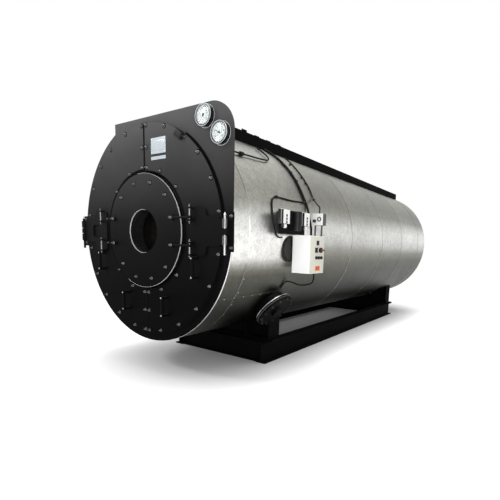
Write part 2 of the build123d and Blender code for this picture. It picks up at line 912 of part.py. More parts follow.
pipe_lift = fitting_radius + fit_clearance
gauge_pipe = run_of(
    [on_cladding(share * gauge_pipe_reach, turn, pipe_lift) for share, turn in gauge_pipe_route_shares],
    gauge_pipe_radius,
)
near = [point for point in gauge_pipe_route_shares if point[0] < gauge_pipe_fitting_share][-1]
far = [point for point in gauge_pipe_route_shares if point[0] > gauge_pipe_fitting_share][0]
near_point = Vector(*on_cladding(near[0] * gauge_pipe_reach, near[1], pipe_lift))
far_point = Vector(*on_cladding(far[0] * gauge_pipe_reach, far[1], pipe_lift))
fitting_middle = (near_point + far_point) / 2
fitting_way = (far_point - near_point).normalized()
gauge_pipe += extrude(
    Plane(origin=fitting_middle - fitting_way * fitting_length / 2, z_dir=fitting_way)
    * Circle(fitting_radius),
    fitting_length,
)
parts["gauge_pipe"] = gauge_pipe

main_route = [
    on_cladding(y, degrees, main_cable_radius + cable_lift) for y, degrees in main_cable_route
]
main_entry = (junction_inner_x - 2 * rod_inset, junction_middle_y)
sensor_route = [
    on_cladding(y, degrees, thin_cable_radius + cable_lift) for y, degrees in sensor_cable_route
]
sensor_entry = (box_outer_x - sensor_entry_inset, junction_middle_y)
hang_start = Vector(*sensor_route[-1])
hang_end = Vector(*sensor_entry, axis_height + junction_top + sensor_lead)
for share, sag_share in sensor_hang_shares:
    place = hang_start + (hang_end - hang_start) * share - Vector(0, 0, sensor_hang * sag_share)
    sensor_route.append((place.X, place.Y, place.Z))
for lift in (cable_lead, cable_end_lift):
    main_route.append((*main_entry, axis_height + box_rise + lift))
for lift in (sensor_lead, cable_end_lift):
    sensor_route.append((*sensor_entry, axis_height + junction_top + lift))
side_route = [
    on_cladding(y, degrees, thin_cable_radius + cable_lift) for y, degrees in side_cable_route
]
parts["signal_cables"] = Compound(children=[
    run_of(main_route, main_cable_radius),
    run_of(sensor_route, thin_cable_radius),
    run_of(side_route, thin_cable_radius),
])
under_route = [
    (box_outer_x - under_cable_inset, control_y + under_cable_shift, axis_height + box_bottom - drop)
    for drop in (cable_end_lift, under_cable_lead)
]
under_route += [on_cladding(y, degrees, lift) for y, degrees, lift in under_cable_route]
parts["box_cable"] = run_of(under_route, under_cable_radius)

os.makedirs("parts", exist_ok=True)
for name, shape in parts.items():
    export_step(Pos(0, -front_cross_y, 0) * shape, f"parts/{name}.step")
print(len(parts), "nodes written")
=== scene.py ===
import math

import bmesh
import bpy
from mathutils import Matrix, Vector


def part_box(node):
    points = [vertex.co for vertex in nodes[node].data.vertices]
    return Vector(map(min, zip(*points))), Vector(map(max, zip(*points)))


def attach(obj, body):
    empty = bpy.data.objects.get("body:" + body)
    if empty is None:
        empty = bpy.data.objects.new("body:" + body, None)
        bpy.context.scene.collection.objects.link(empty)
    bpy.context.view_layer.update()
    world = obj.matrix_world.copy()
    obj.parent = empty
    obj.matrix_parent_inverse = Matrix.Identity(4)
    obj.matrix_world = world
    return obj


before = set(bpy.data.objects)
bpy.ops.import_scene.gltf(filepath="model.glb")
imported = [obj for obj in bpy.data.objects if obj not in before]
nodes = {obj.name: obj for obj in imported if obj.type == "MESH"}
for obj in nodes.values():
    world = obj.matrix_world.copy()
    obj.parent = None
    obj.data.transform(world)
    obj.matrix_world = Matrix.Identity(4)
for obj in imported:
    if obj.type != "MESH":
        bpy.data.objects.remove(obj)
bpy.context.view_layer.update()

# %% [markdown]
# A fire-tube boiler is a long drum of bright sheet steel with a heavy black front.
# The drum, the doors, the hinges and the skid come in as a fixed frame. This file
# dresses that frame: it gives every surface a finish and adds the small things that
# a boiler maker bolts on. Lengths are in metres, the front faces -Y, +Z is up.

AXIS_Z = 1.060
CLADDING_RADIUS = 0.797
CASING_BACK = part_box("front_casing")[1].y
CASING_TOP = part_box("front_casing")[1].z
DOOR_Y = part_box("door_right")[0].y - CASING_BACK
BURNER_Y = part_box("burner_door")[0].y - CASING_BACK
SIDES = ((-1, "left"), (1, "right"))

# %% [markdown]
# The camera comes first, because every later choice is judged through it. Its place
# and turn were worked out from the round doors, whose ellipses fix the angle well.
# The picture was cropped off centre, so the lens is shifted by as much as that crop.

# %% The camera
IMAGE_SIDE = 500
FOCAL_PIXELS = 379.944
SENSOR_WIDTH = 36.0
PRINCIPAL_POINT = (281.5, 301.5)
CAMERA_AT = Vector((2.359, -2.557, 0.987))
CAMERA_YAW = 33.63
CAMERA_PITCH = -8.32
CAMERA_ROLL = 1.82


def turned(degrees, axis="Z"):
    return Matrix.Rotation(math.radians(degrees), 4, axis)


camera_data = bpy.data.cameras.new("camera")
camera = bpy.data.objects.new("camera", camera_data)
bpy.context.scene.collection.objects.link(camera)
bpy.context.scene.camera = camera
camera_data.sensor_width = SENSOR_WIDTH
camera_data.lens = SENSOR_WIDTH * FOCAL_PIXELS / IMAGE_SIDE
camera_data.shift_x = (IMAGE_SIDE / 2 - PRINCIPAL_POINT[0]) / IMAGE_SIDE
camera_data.shift_y = (PRINCIPAL_POINT[1] - IMAGE_SIDE / 2) / IMAGE_SIDE
camera_data.clip_start = 0.05
camera_data.clip_end = 200
camera.matrix_world = (
    Matrix.Translation(CAMERA_AT) @ turned(CAMERA_YAW) @ turned(90 + CAMERA_PITCH, "X")
    @ turned(CAMERA_ROLL)
)
print("lens", round(camera_data.lens, 2), "shift", round(camera_data.shift_x, 3))

# %% [markdown]
# The boiler stands on white paper in an even studio light. Paper that is only
# painted white would need a lot of light to look white, and that would wash out the
# steel. So the paper glows a little for the camera and for mirrors. The glow is cut by
# ambient occlusion where the boiler hangs close over the paper, which paints a shadow
# there on top of the soft shadow of the lamps.

# %% Small helpers for node trees
def new_node(tree, kind, inputs=None, **settings):
    """Add a node, set its plain settings, then its sockets by name or by number."""
    node = tree.nodes.new(kind)
    for key, value in settings.items():
        setattr(node, key, value)
    for key, value in (inputs or {}).items():
        node.inputs[key].default_value = value
    return node


def wire(tree, start, end):
    tree.links.new(start, end)


def math_node(tree, operation, *values):
    """A Math node; its arguments are sockets or plain numbers."""
    node = new_node(tree, "ShaderNodeMath", operation=operation)
    for place, value in enumerate(values):
        if hasattr(value, "is_output"):
            wire(tree, value, node.inputs[place])
        else:
            node.inputs[place].default_value = value
    return node.outputs[0]


def as_colour(tone):
    """A colour as four numbers, from a colour or from one grey."""
    return (*tone, 1.0) if isinstance(tone, tuple) else (tone, tone, tone, 1.0)


def ramp(tree, factor, stops):
    """A colour ramp; each stop is its place and a grey or a colour."""
    node = new_node(tree, "ShaderNodeValToRGB")
    points = node.color_ramp.elements
    while len(points) < len(stops):
        points.new(0.5)
    for point, (place, tone) in zip(points, stops):
        point.position = place
        point.color = as_colour(tone)
    wire(tree, factor, node.inputs["Fac"])
    return node.outputs["Color"]


def mix_colour(tree, factor, first, second, blend="MIX"):
    node = new_node(tree, "ShaderNodeMix", data_type="RGBA", blend_type=blend)
    for place, value in ((0, factor), (6, first), (7, second)):
        if hasattr(value, "is_output"):
            wire(tree, value, node.inputs[place])
        else:
            node.inputs[place].default_value = as_colour(value) if place else value
    return node.outputs[2]


def shaded(tree, base, mask, low, high):
    """A colour made darker and lighter by a mask."""
    return mix_colour(tree, 1.0, base, ramp(tree, mask, [(0.0, low), (1.0, high)]), "MULTIPLY")


def object_axes(tree):
    """The Object coordinates, split into their X, Y and Z."""
    where = new_node(tree, "ShaderNodeTexCoord")
    split = new_node(tree, "ShaderNodeSeparateXYZ")
    wire(tree, where.outputs["Object"], split.inputs[0])
    return split.outputs


def new_material(name, **principled):
    """A material whose Principled shader has the given constants on its sockets."""
    material = bpy.data.materials.new(name)
    material.use_nodes = True
    tree = material.node_tree
    shader = tree.nodes["Principled BSDF"]
    for key, value in principled.items():
        socket = key.replace("_", " ").title().replace("Ior", "IOR")
        shader.inputs[socket].default_value = (*value, 1.0) if isinstance(value, tuple) else value
    return material, tree, shader


# %% The paper, its light and the lamps
PAPER_SIZE = 60
PAPER_COLOUR = (0.80, 0.80, 0.80)
PAPER_GLOW = 0.66
SHADOW_REACH = 0.6
SHADOW_DEPTH = 2.6
ROOM_LIGHT = 0.42
WHITE = (1.0, 1.0, 1.0)


def sees_background(tree):
    """One for the camera, mirrors and glass, nothing for the light that fills the room."""
    path = new_node(tree, "ShaderNodeLightPath")
    seen = math_node(tree, "ADD", path.outputs["Is Camera Ray"], path.outputs["Is Glossy Ray"])
    seen = math_node(tree, "ADD", seen, path.outputs["Is Transmission Ray"])
    return math_node(tree, "MINIMUM", seen, 1.0)


bpy.ops.mesh.primitive_plane_add(size=PAPER_SIZE, location=(0, 2, 0))
paper = bpy.context.object
paper.name = "paper_floor"
paper_material, tree, shader = new_material(
    "paper_white", base_color=PAPER_COLOUR, roughness=0.9, specular_ior_level=0.0,
    emission_color=WHITE,
)
# Painted shadow: ambient occlusion cuts the glow under the boiler.
hollow = new_node(tree, "ShaderNodeAmbientOcclusion", {"Distance": SHADOW_REACH}, samples=8)
openness = math_node(tree, "POWER", hollow.outputs["AO"], SHADOW_DEPTH)
glow = math_node(tree, "MULTIPLY", sees_background(tree), openness)
wire(tree, math_node(tree, "MULTIPLY", glow, PAPER_GLOW), shader.inputs["Emission Strength"])
paper.data.materials.append(paper_material)

world = bpy.data.worlds.new("studio")
bpy.context.scene.world = world
world.use_nodes = True
tree = world.node_tree
background = tree.nodes["Background"]
background.inputs["Color"].default_value = (*WHITE, 1.0)
strength = math_node(tree, "MULTIPLY_ADD", sees_background(tree), 1.0 - ROOM_LIGHT, ROOM_LIGHT)
wire(tree, strength, background.inputs["Strength"])


def soft_lamp(name, at, aim, size, power):
    data = bpy.data.lights.new(name, "AREA")
    data.shape = "RECTANGLE"
    data.size, data.size_y = size
    data.energy = power
    lamp = bpy.data.objects.new(name, data)
    bpy.context.scene.collection.objects.link(lamp)
    lamp.location = at
    lamp.rotation_mode = "QUATERNION"
    lamp.rotation_quaternion = (Vector(aim) - Vector(at)).to_track_quat("-Z", "Y")


soft_lamp("lamp_above", (1.0, 0.5, 6.0), (0, 1.2, 1.0), (5.0, 6.0), 190)
soft_lamp("lamp_side", (4.6, -4.6, 1.25), (0.5, 0.2, 1.0), (3.2, 1.1), 190)
soft_lamp("lamp_front", (-2.4, -4.0, 4.0), (0, -0.8, 1.2), (0.9, 0.9), 85)
bpy.context.scene.view_settings.view_transform = "Standard"

# %% [markdown]
# Several finishes share the same small effects: fine grain, slow clouds of tone,
# dust on what faces up, and specks. Each effect is one node group, made once, and a
# material gives it its own scale. The groups put out plain masks and heights, and
# the shader itself stays in each material.

# %% Node groups for effects that several finishes use
def new_group(name, inputs, outputs):
    group = bpy.data.node_groups.new(name, "ShaderNodeTree")
    for label, value in inputs.items():
        kind = "NodeSocketVector" if isinstance(value, tuple) else "NodeSocketFloat"
        socket = group.interface.new_socket(name=label, in_out="INPUT", socket_type=kind)
        socket.default_value = value
    for label in outputs:
        group.interface.new_socket(name=label, in_out="OUTPUT", socket_type="NodeSocketFloat")
    entry, leave = group.nodes.new("NodeGroupInput"), group.nodes.new("NodeGroupOutput")
    return group, entry.outputs, leave.inputs


def object_texture(tree, kind, given, inputs=None):
    """A texture on Object coordinates; its group's sockets give its scale and stretch."""
    where = new_node(tree, "ShaderNodeTexCoord").outputs["Object"]
    if "Stretch" in given:
        stretch = new_node(tree, "ShaderNodeVectorMath", operation="MULTIPLY")
        wire(tree, where, stretch.inputs[0])
        wire(tree, given["Stretch"], stretch.inputs[1])
        where = stretch.outputs[0]
    texture = new_node(tree, kind, inputs)
    wire(tree, where, texture.inputs["Vector"])
    wire(tree, given["Scale"], texture.inputs["Scale"])
    return texture.outputs


EVEN = (1.0, 1.0, 1.0)
RARE_SPECK = 0.72
grain_group, given, put = new_group(
    "fine_grain", {"Scale": 300.0, "Stretch": EVEN}, ["Height", "Tone"]
)
noise = object_texture(grain_group, "ShaderNodeTexNoise", given,
                       {"Detail": 4.0, "Roughness": 0.55})["Fac"]
wire(grain_group, noise, put["Height"])
tone = new_node(grain_group, "ShaderNodeMapRange", {"From Min": 0.3, "From Max": 0.7})
wire(grain_group, noise, tone.inputs["Value"])
wire(grain_group, tone.outputs[0], put["Tone"])

clouds_group, given, put = new_group(
    "slow_clouds", {"Scale": 2.0, "Stretch": EVEN, "Contrast": 1.0}, ["Mask"]
)
noise = object_texture(clouds_group, "ShaderNodeTexNoise", given,
                       {"Detail": 3.0, "Roughness": 0.55})["Fac"]
centred = math_node(clouds_group, "SUBTRACT", noise, 0.5)
spread = math_node(clouds_group, "MULTIPLY", centred, given["Contrast"])
clamp = new_node(clouds_group, "ShaderNodeClamp")
wire(clouds_group, math_node(clouds_group, "ADD", spread, 0.5), clamp.inputs["Value"])
wire(clouds_group, clamp.outputs[0], put["Mask"])

dust_group, given, put = new_group("settled_dust", {"Amount": 0.5, "Scale": 9.0}, ["Mask"])
shape = new_node(dust_group, "ShaderNodeNewGeometry")
split = new_node(dust_group, "ShaderNodeSeparateXYZ")
wire(dust_group, shape.outputs["Normal"], split.inputs[0])
upward = new_node(dust_group, "ShaderNodeMapRange", {"From Min": 0.35, "From Max": 0.95})
wire(dust_group, split.outputs["Z"], upward.inputs["Value"])
patches = object_texture(dust_group, "ShaderNodeTexNoise", given, {"Detail": 5.0})
dusty = math_node(dust_group, "MULTIPLY", upward.outputs[0], patches["Fac"])
wire(dust_group, math_node(dust_group, "MULTIPLY", dusty, given["Amount"]), put["Mask"])

specks_group, given, put = new_group("small_specks", {"Scale": 60.0, "Size": 0.12}, ["Mask"])
cells = object_texture(specks_group, "ShaderNodeTexVoronoi", given)
inside = math_node(specks_group, "LESS_THAN", cells["Distance"], given["Size"])
pick = new_node(specks_group, "ShaderNodeSeparateColor")
wire(specks_group, cells["Color"], pick.inputs[0])
rare = math_node(specks_group, "GREATER_THAN", pick.outputs[0], RARE_SPECK)
wire(specks_group, math_node(specks_group, "MULTIPLY", inside, rare), put["Mask"])
print("groups", [g.name for g in bpy.data.node_groups])


def effect(tree, group, **inputs):
    """Place an effect group in a material with its own values."""
    node = new_node(tree, "ShaderNodeGroup", node_tree=group)
    for key, value in inputs.items():
        node.inputs[key.title()].default_value = value
    return node.outputs


def bump(tree, shader, height, strength, distance, before=None):
    """Feed a height to the shader's Normal, on top of an earlier bump if one is given."""
    node = new_node(tree, "ShaderNodeBump", {"Strength": strength, "Distance": distance})
    wire(tree, height, node.inputs["Height"])
    if before:
        wire(tree, before, node.inputs["Normal"])
    wire(tree, node.outputs[0], shader.inputs["Normal"])
    return node.outputs[0]


# %% [markdown]
# The cladding is thin stainless sheet, rolled round the drum. It is bright metal, but
# never a clean mirror: the sheet waves between its seams, and it has fine marks round
# the drum from the rolls. The waves are a gentle bump, and the marks are a change of
# roughness and tone. The photograph was lit harder than this studio, so its bands of
# light and dark are written into the colour, by height and along the drum. That is a
# shortcut: they aren't the steel's own colour, and they stay put under other light.

# %% The cladding steel
# Each pair is a share of the drum's height and a grey fitted to the photograph there; the greys
# are painted highlights and painted shade.
TONE_AT_FRONT = (
    (0.0, 0.010), (0.15, 0.030), (0.27, 0.062), (0.32, 0.082), (0.345, 0.145), (0.37, 0.34),
    (0.40, 0.74), (0.44, 0.92), (0.50, 0.95), (0.56, 0.80), (0.60, 0.48), (0.64, 0.32),
    (0.70, 0.30), (0.80, 0.33), (1.0, 0.33),
)
TONE_ALONG = (
    (0.0, 0.009), (0.15, 0.024), (0.25, 0.036), (0.31, 0.062), (0.36, 0.115), (0.40, 0.19),
    (0.44, 0.33), (0.49, 0.60), (0.53, 0.69), (0.57, 0.67), (0.605, 0.48), (0.64, 0.33),
    (0.68, 0.225), (0.73, 0.205), (0.80, 0.235), (1.0, 0.30),
)
TONE_AT_REAR = (
    (0.0, 0.009), (0.16, 0.026), (0.24, 0.034), (0.30, 0.055), (0.36, 0.10), (0.42, 0.26),
    (0.47, 0.60), (0.53, 0.82), (0.58, 0.82), (0.635, 0.60), (0.69, 0.28), (0.755, 0.215),
    (0.83, 0.24), (1.0, 0.30),
)
YARD_SPECK = (0.3, 0.3, 0.27)


def warm(grey):
    """The dark bands look slightly olive in the photograph, the bright ones neutral."""
    blue = 0.80 + 0.17 * min(1.0, grey / 0.6)
    return (grey, grey * 0.995, grey * blue)


def cladding_finish():
    material, tree, shader = new_material("cladding_steel", metallic=1.0, anisotropic=0.35)
    axes = object_axes(tree)
    height = math_node(tree, "SUBTRACT", axes["Z"], AXIS_Z)
    height = math_node(tree, "DIVIDE", height, 2 * CLADDING_RADIUS)
    height = math_node(tree, "ADD", height, 0.5)
    near, middle, rear = (
        ramp(tree, height, [(place, warm(grey)) for place, grey in tones])
        for tones in (TONE_AT_FRONT, TONE_ALONG, TONE_AT_REAR)
    )
    # The painted highlight is brightest near the front; these zones blend the front, middle and
    # rear greys along the drum.
    leaving = new_node(tree, "ShaderNodeMapRange", {"From Min": -0.25, "From Max": 0.35},
                       interpolation_type="SMOOTHSTEP")
    onward = new_node(tree, "ShaderNodeMapRange", {"From Min": 1.0, "From Max": 3.0})
    for zone in (leaving, onward):
        wire(tree, axes["Y"], zone.inputs["Value"])
    base = mix_colour(tree, leaving.outputs[0], near, middle)
    base = mix_colour(tree, onward.outputs[0], base, rear)
    clouds = effect(tree, clouds_group, scale=2.4, contrast=1.6)["Mask"]
    marks = effect(tree, grain_group, scale=9.0, stretch=(1.0, 26.0, 1.0))["Tone"]
    mottle = effect(tree, clouds_group, scale=19.0, contrast=2.2)["Mask"]
    grit = effect(tree, clouds_group, scale=62.0, contrast=2.6)["Mask"]
    for mask, low, high in (
        (clouds, 0.82, 1.12), (marks, 0.90, 1.06), (mottle, 0.88, 1.10), (grit, 0.86, 1.13)
    ):
        base = shaded(tree, base, mask, low, high)
    specks = effect(tree, specks_group, scale=55.0, size=0.16)["Mask"]
    base = mix_colour(tree, math_node(tree, "MULTIPLY", specks, 0.22), base, YARD_SPECK)
    wire(tree, base, shader.inputs["Base Color"])
    rough = math_node(tree, "MULTIPLY_ADD", clouds, 0.10, 0.30)
    rough = math_node(tree, "MULTIPLY_ADD", marks, 0.08, rough)
    wire(tree, rough, shader.inputs["Roughness"])
    waves = effect(tree, clouds_group, scale=1.7, contrast=1.0)["Mask"]
    first = bump(tree, shader, waves, 0.35, 0.012)
    fine = effect(tree, grain_group, scale=120.0, stretch=(1.0, 2.0, 1.0))["Height"]
    bump(tree, shader, fine, 0.25, 0.0006, first)
    return material


cladding_steel = cladding_finish()
print("cladding nodes", len(cladding_steel.node_tree.nodes))

# %% [markdown]
# The front and the fittings have black machine paint, rolled on thick. Up close it
# has a soft orange-peel skin, and dust on what faces up. It gets greyer towards the
# top and a little to the left, which is again the photograph's light written into the
# colour as painted light, not the paint's own tone. The skid has a flatter black. The
# hinge pins run through painted lugs but are bare themselves, so the paint is told
# where they stand; on the left hinge the pin and the knuckle are left black, as
# painted shade.

# %% Black paint and skid paint
# Each pair is a share of the front's height and a grey fitted to the photograph there: painted
# light, greyer towards the top.
FRONT_TONES = (
    (0.0, 0.001), (0.33, 0.003), (0.45, 0.006), (0.55, 0.009), (0.61, 0.0125), (0.67, 0.0215),
    (0.72, 0.032), (0.80, 0.050), (0.88, 0.069), (1.0, 0.118),
)
# The fittings get painted light as well: greyer towards the top.
FITTING_TONES = ((0.0, 0.001), (0.45, 0.003), (0.60, 0.007), (0.72, 0.014), (1.0, 0.035))
SKID_BLACKS = (0.0012, 0.003)
DUST = (0.16, 0.155, 0.145)
# Each pin has its place across and along, its radius and its grey.
HINGE_PIN = (0.776, -0.818, 0.0088, 0.30)
HINGE_KNUCKLE = (0.776, -0.818, 0.0168, 0.13)
LINK_PIN = (0.495, -0.840, 0.0076, 0.15)


def near_upright(tree, axes, x, y, radius):
    """One within a radius of two upright lines, at x and -x; it picks out bare pins."""
    across = math_node(tree, "SUBTRACT", math_node(tree, "ABSOLUTE", axes["X"]), x)
    along = math_node(tree, "SUBTRACT", axes["Y"], y)
    squares = math_node(tree, "MULTIPLY", along, along)
    squares = math_node(tree, "MULTIPLY_ADD", across, across, squares)
    return math_node(tree, "LESS_THAN", squares, radius * radius)


def black_finish(name, roughness, specular, tall=None, dusty=0.22, pins=()):
    """Black paint; tall gives its greys from the floor up as painted light, pins the places of
    bare pins.
    """
    material, tree, shader = new_material(name, specular_ior_level=specular)
    axes = object_axes(tree)
    clouds = effect(tree, clouds_group, scale=3.2, contrast=1.7)["Mask"]
    if tall:
        # Painted light: the greys rise towards the top and a little to the left.
        leaning = math_node(tree, "MULTIPLY_ADD", axes["X"], -0.07, axes["Z"])
        share = math_node(tree, "DIVIDE", leaning, CASING_TOP)
        base = shaded(tree, ramp(tree, share, tall), clouds, 0.85, 1.12)
    else:
        base = mix_colour(tree, clouds, *SKID_BLACKS)
    dust = effect(tree, dust_group, amount=dusty, scale=14.0)["Mask"]
    base = mix_colour(tree, dust, base, DUST)
    specks = effect(tree, specks_group, scale=85.0, size=0.10)["Mask"]
    base = mix_colour(tree, math_node(tree, "MULTIPLY", specks, 0.12), base, 0.08)
    rough = math_node(tree, "MULTIPLY_ADD", clouds, 0.14, roughness - 0.07)
    rough = math_node(tree, "MULTIPLY_ADD", dust, 0.3, rough)
    bare = None
    for x, y, radius, grey in pins:
        spot = near_upright(tree, axes, x, y, radius)
        base = mix_colour(tree, spot, base, grey)
        bare = math_node(tree, "MAXIMUM", bare, spot) if bare else spot
    if bare:
        wire(tree, bare, shader.inputs["Metallic"])
        rough = math_node(tree, "MULTIPLY_ADD", bare, -0.12, rough)
    wire(tree, base, shader.inputs["Base Color"])
    wire(tree, rough, shader.inputs["Roughness"])
    skin = effect(tree, grain_group, scale=160.0)["Height"]
    bump(tree, shader, skin, 0.35, 0.0008)
    return material


black_paint = black_finish("black_paint", 0.50, 0.012, FRONT_TONES)
# The left hinge gets no bare pin or knuckle: painted shade.
fitting_paint, hinge_paint, arm_paint, left_hinge_painted_shade = (
    black_finish(name, 0.48, 0.03, FITTING_TONES, pins=pins)
    for name, pins in (
        ("fitting_paint", ()), ("hinge_paint", (HINGE_PIN,)),
        ("arm_paint", (LINK_PIN, HINGE_KNUCKLE)), ("left_hinge_painted_shade", (LINK_PIN,)),
    )
)
skid_paint = black_finish("skid_paint", 0.72, 0.03, dusty=0.02)
print("materials", [m.name for m in bpy.data.materials])

# %% [markdown]
# The rest are small finishes: zinc on the screws, dulled steel on the bolts, bare
# steel inside the drum, firebrick in the doors, rubber on the cables, dark metal and
# glass on the gauges, and the white and cream paint of the control box. Each gets the
# grain that its making leaves. Some carry painted light: the bright edge and lap
# steels are painted highlights, and the black for the pads and rings, the darker bolt
# steel and part of the cream's tone are painted shade.

# %% The small finishes
def grained(tree, shader, roughness, scale, relief=0.2, depth=0.0004, stretch=EVEN):
    """Fine grain: a small change of the roughness, and a bump."""
    grain = effect(tree, grain_group, scale=scale, stretch=stretch)
    rough = math_node(tree, "MULTIPLY_ADD", grain["Tone"], 0.12, roughness - 0.06)
    wire(tree, rough, shader.inputs["Roughness"])
    bump(tree, shader, grain["Height"], relief, depth)


def plain_finish(name, colour, worn, roughness, scale, relief=0.2, depth=0.0004,
                 stretch=EVEN, **principled):
    """A finish of two close tones, mixed by clouds, with fine grain."""
    material, tree, shader = new_material(name, **principled)
    clouds = effect(tree, clouds_group, scale=14.0, contrast=1.8)["Mask"]
    wire(tree, mix_colour(tree, clouds, colour, worn), shader.inputs["Base Color"])
    grained(tree, shader, roughness, scale, relief, depth, stretch)
    return material


def metal(name, colour, worn, roughness, scale, metallic=1.0, **relief):
    return plain_finish(name, colour, worn, roughness, scale, metallic=metallic, **relief)


zinc = metal("zinc_steel", (0.56, 0.56, 0.57), (0.38, 0.38, 0.375), 0.34, 220.0)
bolt_steel = metal("bolt_steel", (0.255, 0.255, 0.26), (0.13, 0.13, 0.128), 0.36, 220.0)
# Darker bolt steel, as painted shade, for the bolts under the drum and behind the box.
bolt_painted_shade = metal("bolt_painted_shade", (0.07, 0.07, 0.068), 0.03, 0.4, 220.0)
bright_steel = metal("bright_steel", 0.86, (0.72, 0.72, 0.71), 0.30, 200.0)
ground_edge_highlight = metal("ground_edge_highlight", (0.80, 0.80, 0.79), (0.62, 0.62, 0.61), 0.42, 200.0, 0.25)
lap_line_highlight = metal("lap_line_highlight", (0.62, 0.62, 0.60), (0.30, 0.30, 0.29), 0.5, 60.0, 0.8)
lap_edge_highlight = metal("lap_edge_highlight", (0.34, 0.34, 0.31), (0.16, 0.16, 0.14), 0.4, 60.0)
bare_steel = metal("bare_steel", (0.10, 0.095, 0.09), (0.055, 0.05, 0.045), 0.55, 40.0, 0.85,
                   relief=0.4, depth=0.001)
flange_steel = metal("flange_steel", (0.040, 0.039, 0.037), (0.018, 0.017, 0.016), 0.5, 40.0,
                     0.85, relief=0.4, depth=0.001)
chrome = metal("gauge_chrome", (0.13, 0.155, 0.16), (0.09, 0.11, 0.115), 0.16, 90.0,
               relief=0.05)
plate_metal = metal("plate_aluminium", (0.50, 0.55, 0.58), (0.42, 0.47, 0.50), 0.40, 30.0, 0.6,
                    stretch=(1.0, 1.0, 14.0))
firebrick = plain_finish("lining", (0.52, 0.49, 0.43), (0.36, 0.33, 0.28), 0.92, 90.0, 0.9, 0.003)
sooty_brick = plain_finish("sooty_brick", 0.007, (0.016, 0.0155, 0.015), 0.95, 90.0, 0.9, 0.003,
                           specular_ior_level=0.05)
cable_rubber = plain_finish("cable_rubber", 0.006, 0.012, 0.6, 260.0, specular_ior_level=0.1)
black_plastic = plain_finish("black_plastic", 0.008, 0.016, 0.45, 320.0, specular_ior_level=0.15)
white_plastic = plain_finish(
    "white_plastic", (0.86, 0.86, 0.85), (0.78, 0.78, 0.76), 0.42, 320.0, 0.15
)
box_paint = plain_finish("box_paint", (0.95, 0.95, 0.94), (0.92, 0.92, 0.905), 0.40, 180.0)
# The lid is cream, and darker than the box partly as painted shade.
lid_paint = plain_finish("lid_paint", (0.71, 0.70, 0.61), (0.66, 0.65, 0.56), 0.42, 180.0, 0.25)
dial_white = plain_finish("dial_white", (0.82, 0.88, 0.88), (0.76, 0.83, 0.83), 0.5, 200.0)
ink_black = plain_finish("ink_black", (0.015, 0.015, 0.016), 0.03, 0.5, 200.0)
signal_red = plain_finish("signal_red", (0.30, 0.018, 0.012), (0.20, 0.014, 0.010), 0.38, 250.0)
label_orange = plain_finish("label_orange", (0.85, 0.22, 0.04), (0.75, 0.17, 0.03), 0.45, 250.0)
# A black for painted shade: the pads under the bolts and the rings, bands and strips round the
# doors.
painted_shade_black = plain_finish("painted_shade_black", 0.0015, 0.004, 0.85, 200.0, 0.6, 0.001,
                          specular_ior_level=0.05)
gasket_grey = plain_finish(
    "gasket_grey", (0.20, 0.20, 0.19), (0.12, 0.12, 0.115), 0.85, 240.0, 0.6, 0.001
)

# %% Plastic in two colours, and the glass of the gauges
SWITCH_LOW, SWITCH_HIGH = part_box("pressure_switches")
JUNCTION_LOW, JUNCTION_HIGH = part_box("junction_box")


def two_tone(name, light, dark, axis, test, limit):
    """Moulded plastic in two colours that meet at a place along one axis."""
    material, tree, shader = new_material(name, specular_ior_level=0.25)
    is_dark = math_node(tree, test, object_axes(tree)[axis], limit)
    clouds = effect(tree, clouds_group, scale=14.0, contrast=1.8)["Mask"]
    pale = mix_colour(tree, clouds, light, tuple(0.93 * v for v in light))
    wire(tree, mix_colour(tree, is_dark, pale, dark), shader.inputs["Base Color"])
    grained(tree, shader, 0.45, 240.0)
    return material


switch_plastic = two_tone(
    "switch_plastic", (0.92, 0.92, 0.91), 0.012, "X", "LESS_THAN", SWITCH_HIGH.x - 0.0015
)
junction_plastic = two_tone(
    "junction_plastic", (0.93, 0.93, 0.92), (0.075, 0.075, 0.072), "Y", "GREATER_THAN",
    JUNCTION_LOW.y + 0.008,
)
gauge_glass, tree, shader = new_material(
    "gauge_glass", base_color=WHITE, roughness=0.02, metallic=0.0, transmission_weight=1.0,
    ior=1.45, specular_ior_level=0.2,
)
smear = effect(tree, clouds_group, scale=30.0, contrast=1.5)["Mask"]
wire(tree, math_node(tree, "MULTIPLY", smear, 0.04), shader.inputs["Roughness"])
print("finishes", len(bpy.data.materials))

# %% Finishes on the pieces of the frame
FINISH_OF_NODE = {
    cladding_steel: "cladding_front_band cladding_front cladding_middle cladding_rear rear_cover",
    black_paint: "front_casing door_left door_right burner_door",
    fitting_paint: (
        "handles_left handles_right hatch_neck hatch_cover instrument_bracket "
        "flue_outlet burner_door_links"
    ),
    hinge_paint: "hinge_bracket_right",
    arm_paint: "hinge_arm_right",
    left_hinge_painted_shade: "hinge_arm_left hinge_bracket_left",
    skid_paint: "skid_rails skid_cross_beams saddle_front saddle_rear walkway_deck walkway_edges",
    bare_steel: "boiler_shell tube_plate_front tube_plate_rear furnace_tube fire_tubes",
    flange_steel: "probe_head",
    firebrick: "door_lining_left door_lining_right",
    sooty_brick: "burner_lining",
    plate_metal: "name_plate",
    chrome: "pressure_gauges",
    junction_plastic: "junction_box",
    switch_plastic: "pressure_switches",
    black_plastic: "level_probe box_controls",
    box_paint: "control_box",
    cable_rubber: "signal_cables box_cable gauge_pipe",
}
for finish, names in FINISH_OF_NODE.items():
    for name in names.split():
        nodes[name].data.materials.clear()
        nodes[name].data.materials.append(finish)
print("nodes without a finish:", [n for n, o in nodes.items() if not o.data.materials])

# %% [markdown]
# Every added piece starts as a plain primitive, as it would by hand, and is then cut,
# pressed, inset or bevelled in edit mode. A few helpers do the steps that come back
# each time: start with nothing selected, select faces by their place or by the way
# they point, and finish a piece with its place in its mesh.

# %% Helpers for modelling
FRONT, REAR, SIDE, UP, DOWN = (0, -1, 0), (0, 1, 0), (1, 0, 0), (0, 0, 1), (0, 0, -1)


